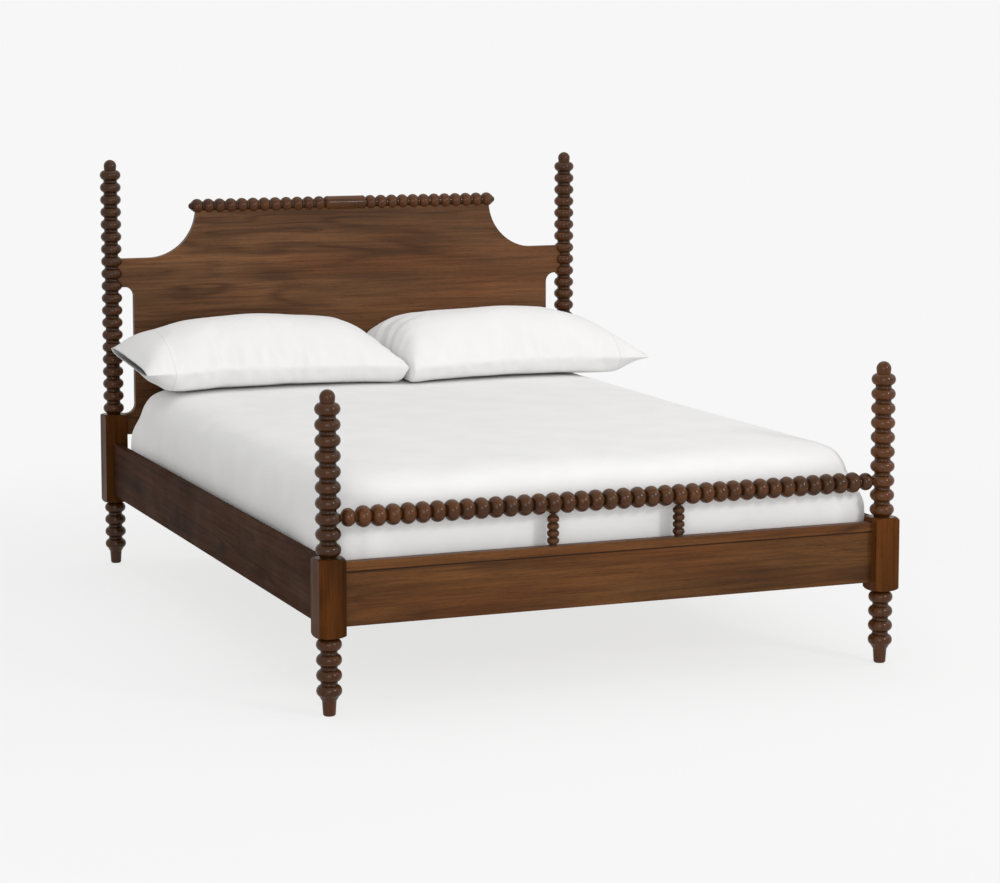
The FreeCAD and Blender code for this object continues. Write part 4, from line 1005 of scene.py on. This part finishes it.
    def _drape(self, sheet: bpy.types.Object) -> None:
        """Adds the sheet's soft folds, fuller lower corners and pulled corner seams.

        Args:
            sheet: the seated sheet.
        """
        for vertex in sheet.data.vertices:
            point, normal = vertex.co, vertex.normal
            aside = point - self.middle
            drop = self.high.z - point.z
            side_x, side_y = (1.0 if aside.x > 0 else -1.0), (1.0 if aside.y > 0 else -1.0)
            out_x = abs(aside.x) - (self.half.x - self.corner)
            out_y = abs(aside.y) - (self.half.y - self.corner)
            level = 1.0 - abs(normal.z)
            move = Vector()
            if out_x > 0 and out_y > 0:
                angle = math.atan2(out_y, out_x)
                fuller = self.fullness * math.sin(2 * angle) ** 1.3
                fuller *= ease(drop, 0.07, 0.17) * ease(0.30 - drop, 0.0, 0.05)
                move += Vector((side_x * out_x, side_y * out_y, 0)) * fuller
                seam = math.exp(-((angle - self.seam_angle) / self.seam_width) ** 2) * ease(drop, 0.06, 0.15)
                flap = ease(self.seam_angle - angle, 0.05, 0.30) * ease(drop, 0.09, 0.17)
                move += normal * (self.flap_lift * flap - self.seam_depth * seam)
            run = point.y if abs(normal.x) > abs(normal.y) else point.x
            hang = ease(drop, 0.05, 0.24) * level
            ripple = noise.noise(Vector((run * 5.5, drop * 1.4, side_x * 3 + side_y * 7)))
            fine = noise.noise(Vector((run * 17.0 + 5, drop * 3.5, side_x * 5 + side_y * 2)))
            move += normal * (0.0050 * ripple + 0.0020 * fine) * hang
            near_corner = ease(abs(aside.y), self.half.y - 0.42, self.half.y - 0.12)
            move.x += side_x * 0.013 * near_corner * ease(drop, 0.10, 0.19) * abs(normal.x)
            broad = noise.noise(Vector((point.x * 2.1, point.y * 1.7, 4.2)))
            small = noise.noise(Vector((point.x * 7.0, point.y * 3.2, 9.7)))
            move.z -= (0.0022 * (0.5 + broad) + 0.0007 * (0.6 + small)) * max(normal.z, 0.0) ** 2
            vertex.co = point + move
            reach = self.half.x + self.side_slack
            vertex.co.x = self.middle.x + min(max(vertex.co.x - self.middle.x, -reach), reach)
            vertex.co.z = min(vertex.co.z, self.top_at(vertex.co.x))
            vertex.co.z = max(vertex.co.z, self.low.z)

    def _unroll(self, sheet: bpy.types.Object) -> None:
        """Lays the sheet's weave out flat: the top as it is, the sides folded outwards."""
        mesh = sheet.data
        layer = mesh.uv_layers.new(name="cloth")
        flats = []
        for vertex in mesh.vertices:
            aside, normal = vertex.co - self.middle, vertex.normal
            square = max(normal.x ** 2 + normal.y ** 2, 1e-6)
            drop = self.high.z - vertex.co.z
            share = ease(1.0 - abs(normal.z), 0.1, 0.5)
            flats.append((aside.x + math.copysign(drop * share * normal.x ** 2 / square, aside.x),
                          aside.y + math.copysign(drop * share * normal.y ** 2 / square, aside.y)))
        for loop in mesh.loops:
            layer.data[loop.index].uv = flats[loop.vertex_index]


@dataclass
class Pillow:
    """A filled pillow in a cotton case whose outer end is open."""

    groups: EffectGroups
    bed: Mattress
    name: str
    side: int
    inner_x: float
    outer_x: float
    front_y: float
    back_y: float
    crown: tuple[tuple[float, float], ...]
    seam: tuple[tuple[float, float], ...]
    tilt: float = 0.018
    waist: float = 0.07
    slack: float = 0.27
    slant: float = 0.05
    lip: float = 0.013
    rest_gap: float = 0.0006
    flat_length: float = 0.93
    flat_depth: float = 0.52
    cells: tuple[int, int] = (96, 54)
    hem: float = 0.105
    mouth: float = 0.022
    thickness: float = 0.0012
    white: Colour = (0.872, 0.867, 0.860)
    shade: Colour = (0.845, 0.840, 0.833)

    def build(self) -> tuple[bpy.types.Object, bpy.types.Object]:
        """Makes the case and the pillow in it.

        Returns:
            The case and the filling.
        """
        percale = ClothFinish(f"white_percale_{self.name}", self.white, self.shade,
                              hem_at=self.flat_length / 2 - self.hem).build(self.groups)
        closed = ClothWork.piece(self._flat_case(), f"{self.name}_case", percale)
        self._mark_filling(closed)
        flat = [v.co.copy() for v in closed.data.vertices]
        ClothWork(bending=0.35).inflate(closed, 5.0, 36, 0.30, "filling")
        self._fit(closed, flat)
        filling = self._filling(closed)
        self._open_mouth(closed)
        ClothWork.subdivide(closed)
        shell = closed.modifiers.new("cloth_thickness", "SOLIDIFY")
        shell.thickness, shell.offset = self.thickness, -1.0
        body = f"{self.name}_body"
        for made in (closed, filling):
            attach(made, body)
            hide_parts(self.name)
        LOG.info("%s: %d faces", self.name, len(closed.data.polygons))
        return closed, filling

    def _flat_case(self) -> bmesh.types.BMesh:
        """Two flat panels joined all round, with a flat UV map.

        Returns:
            The closed flat case; X runs from the closed end to the mouth.
        """
        bm = bmesh.new()
        bmesh.ops.create_grid(bm, x_segments=self.cells[0], y_segments=self.cells[1], size=0.5)
        bmesh.ops.scale(bm, vec=(self.flat_length, self.flat_depth, 1.0), verts=bm.verts)
        raised = bmesh.ops.extrude_face_region(bm, geom=bm.faces[:])["geom"]
        bmesh.ops.translate(bm, vec=(0, 0, self.mouth), verts=[g for g in raised if isinstance(g, bmesh.types.BMVert)])
        bmesh.ops.translate(bm, vec=(0, 0, -self.mouth / 2), verts=bm.verts)
        bmesh.ops.recalc_face_normals(bm, faces=bm.faces)
        layer = bm.loops.layers.uv.new("cloth")
        for face in bm.faces:
            if face.normal.x > 0.5:
                face.material_index = 1
            for loop in face.loops:
                lift = 0.6 if face.normal.z < 0 else 0.0
                loop[layer].uv = (loop.vert.co.x, loop.vert.co.y + lift)
        return bm

    def _mark_filling(self, made: bpy.types.Object) -> None:
        """Marks where the pillow pushes: everywhere but the loose hem beyond it."""
        group = made.vertex_groups.new(name="filling")
        for vertex in made.data.vertices:
            from_mouth = self.flat_length / 2 - vertex.co.x
            group.add([vertex.index], ease(from_mouth, self.hem * 0.55, self.hem * 1.4), "REPLACE")

    def _place(self, share: float, across: float, height: float) -> Vector:
        """Finds where a point of the case lies on the bed.

        Args:
            share: how far along the pillow, from 0 at the closed end to 1 at the mouth.
            across: how far from the front edge to the back edge, 0 to 1.
            height: 1 on the crown, 0 on the seam and -1 at the lowest.

        Returns:
            The place, never lower than the sheet.
        """
        x = self.inner_x + (self.outer_x - self.inner_x) * share
        floor = self.bed.top_at(x) + self.rest_gap
        seam = along(self.seam, share) + self.tilt * (across - 0.5) * 2
        rise = max(along(self.crown, share) - along(self.seam, share), self.lip)
        belly = self.lip + (seam - floor + 0.020 - self.lip) * ease(1.0 - share, 0.0, 0.16)
        z = seam + height * (rise if height > 0 else belly)
        if z < floor + 0.01:
            z = floor + 0.01 * math.exp((z - floor) / 0.01 - 1)
        x -= self.slant * across * (1.0 - share) ** 2
        return Vector((x, self.front_y + (self.back_y - self.front_y) * across, z))

    def _fit(self, made: bpy.types.Object, flat: list[Vector]) -> None:
        """Lays the swelled case on the bed, its fullness evened towards a smooth lens.

        Args:
            made: the swelled case.
            flat: where its points lay before it was filled.
        """
        points = [v.co for v in made.data.vertices]
        low = Vector(min(p[i] for p in points) for i in range(3))
        high = Vector(max(p[i] for p in points) for i in range(3))
        bins = 40
        tops, lows = [1e-3] * (bins + 2), [1e-3] * (bins + 2)
        shares = [(p.x - low.x) / (high.x - low.x) for p in points]
        for point, share in zip(points, shares):
            number = round(share * bins)
            tops[number], lows[number] = max(tops[number], point.z), max(lows[number], -point.z)
        for point, share, start in zip(points, shares, flat):
            number, part = int(share * bins), share * bins % 1
            table = tops if point.z > 0 else lows
            full = table[number] * (1 - part) + table[number + 1] * part
            swelled = self._place(share, (point.y - low.y) / (high.y - low.y), point.z / full)
            along_flat, across_flat = start.x / self.flat_length + 0.5, start.y / self.flat_depth + 0.5
            drawn = 1.0 - self.waist * math.sin(math.pi * along_flat)
            power = (2.4 if start.z > 0 else 6.0) + 3.0 * ease(along_flat, 0.86, 1.0)
            bow = math.copysign(max(1.0 - abs(2 * across_flat - 1) ** power, 0.04), start.z)
            even = self._place(along_flat, 0.5 + (across_flat - 0.5) * drawn, bow)
            point.x, point.y, point.z = (
                even.lerp(swelled, self.slack * ease(1.0 - along_flat, 0.0, 0.2))
                + self._pucker(along_flat, across_flat, bow))
        bm = bmesh.new()
        bm.from_mesh(made.data)
        bmesh.ops.smooth_vert(bm, verts=bm.verts, factor=0.5, use_axis_x=False, use_axis_y=False, use_axis_z=True)
        bmesh.ops.recalc_face_normals(bm, faces=bm.faces)
        bm.to_mesh(made.data)
        bm.free()

    def _pucker(self, share: float, across: float, height: float) -> Vector:
        """The small gathers that the seams pull into the cloth.

        Args:
            share: how far along the pillow, from 0 at the closed end to 1 at the mouth.
            across: how far from the front edge to the back edge, 0 to 1.
            height: 1 on the crown, 0 on the seam and -1 at the lowest.

        Returns:
            How far the point moves.
        """
        edge = math.exp(-min(across, 1 - across) / 0.10) * ease(abs(height), 0.0, 0.25)
        folds = noise.noise(Vector((share * 34.0, height * 1.2, self.inner_x * 60 + (7 if across > 0.5 else 0))))
        end = math.exp(-share / 0.07) * ease(abs(height), 0.0, 0.3)
        gathers = noise.noise(Vector((across * 15.0, height * 1.5, 3.0 + self.side)))
        soft = noise.noise(Vector((share * 5.0, across * 3.5, height + self.side * 4)))
        front = -1.0 if across < 0.5 else 1.0
        return Vector((self.side * -0.006 * gathers * end, 0.0105 * folds * edge * front,
                       0.0065 * gathers * end + 0.0030 * soft * max(height, 0.0) + 0.002 * folds * edge))

    def _filling(self, case: bpy.types.Object) -> bpy.types.Object:
        """The pillow inside: the closed case drawn in a little and cut off before the hem.

        Args:
            case: the fitted case, still closed.

        Returns:
            The pillow.
        """
        bm = bmesh.new()
        bm.from_mesh(case.data)
        bm.normal_update()
        for vertex in bm.verts:
            vertex.co -= vertex.normal * 0.004
        edge_x = self.outer_x - self.side * self.hem
        bmesh.ops.bisect_plane(bm, geom=bm.verts[:] + bm.edges[:] + bm.faces[:], plane_co=(edge_x, 0, 0),
                               plane_no=(self.side, 0, 0), clear_outer=True)
        bmesh.ops.holes_fill(bm, edges=[e for e in bm.edges if e.is_boundary])
        bmesh.ops.triangulate(bm, faces=[f for f in bm.faces if len(f.verts) > 4])
        lining = ClothFinish(f"pillow_ticking_{self.name}", self.shade, tuple(c * 0.92 for c in self.shade), 900.0)
        return ClothWork.piece(bm, f"{self.name}_filling", lining.build(self.groups))

    @staticmethod
    def _open_mouth(made: bpy.types.Object) -> None:
        """Takes away the end wall, so that the case is open at its outer end."""
        bm = bmesh.new()
        bm.from_mesh(made.data)
        bmesh.ops.delete(bm, geom=[f for f in bm.faces if f.material_index == 1], context="FACES")
        bm.to_mesh(made.data)
        bm.free()


def main() -> None:
    """Builds the scene piece by piece."""
    logging.basicConfig(level=logging.INFO, format="%(message)s")
    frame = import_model()
    bpy.context.scene.view_settings.view_transform = "Standard"
    Studio().build()
    groups = EffectGroups()
    WoodFrame(groups).dress(frame["nodes"])
    Fittings(groups).dress(frame["nodes"])
    low, high = (Vector(corner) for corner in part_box("mattress"))
    bed = Mattress(groups, low, high)
    bed.build()
    Pillow(groups, bed, "pillow_left", -1, 0.050, -0.806, 0.600, 1.050,
           crown=((0, 0.685), (0.05, 0.740), (0.132, 0.781), (0.204, 0.800), (0.33, 0.811), (0.555, 0.818),
                  (0.763, 0.805), (0.86, 0.785), (0.92, 0.764), (0.965, 0.735), (1.0, 0.696)),
           seam=((0, 0.677), (0.5, 0.682), (1.0, 0.686))).build()
    Pillow(groups, bed, "pillow_right", 1, 0.056, 0.874, 0.577, 1.016,
           crown=((0, 0.712), (0.03, 0.766), (0.08, 0.792), (0.143, 0.803), (0.30, 0.812), (0.453, 0.815),
                  (0.60, 0.812), (0.672, 0.807), (0.83, 0.770), (0.93, 0.725), (1.0, 0.680)),
           seam=((0, 0.672), (0.5, 0.676), (1.0, 0.672))).build()


if __name__ == "__main__":
    main()
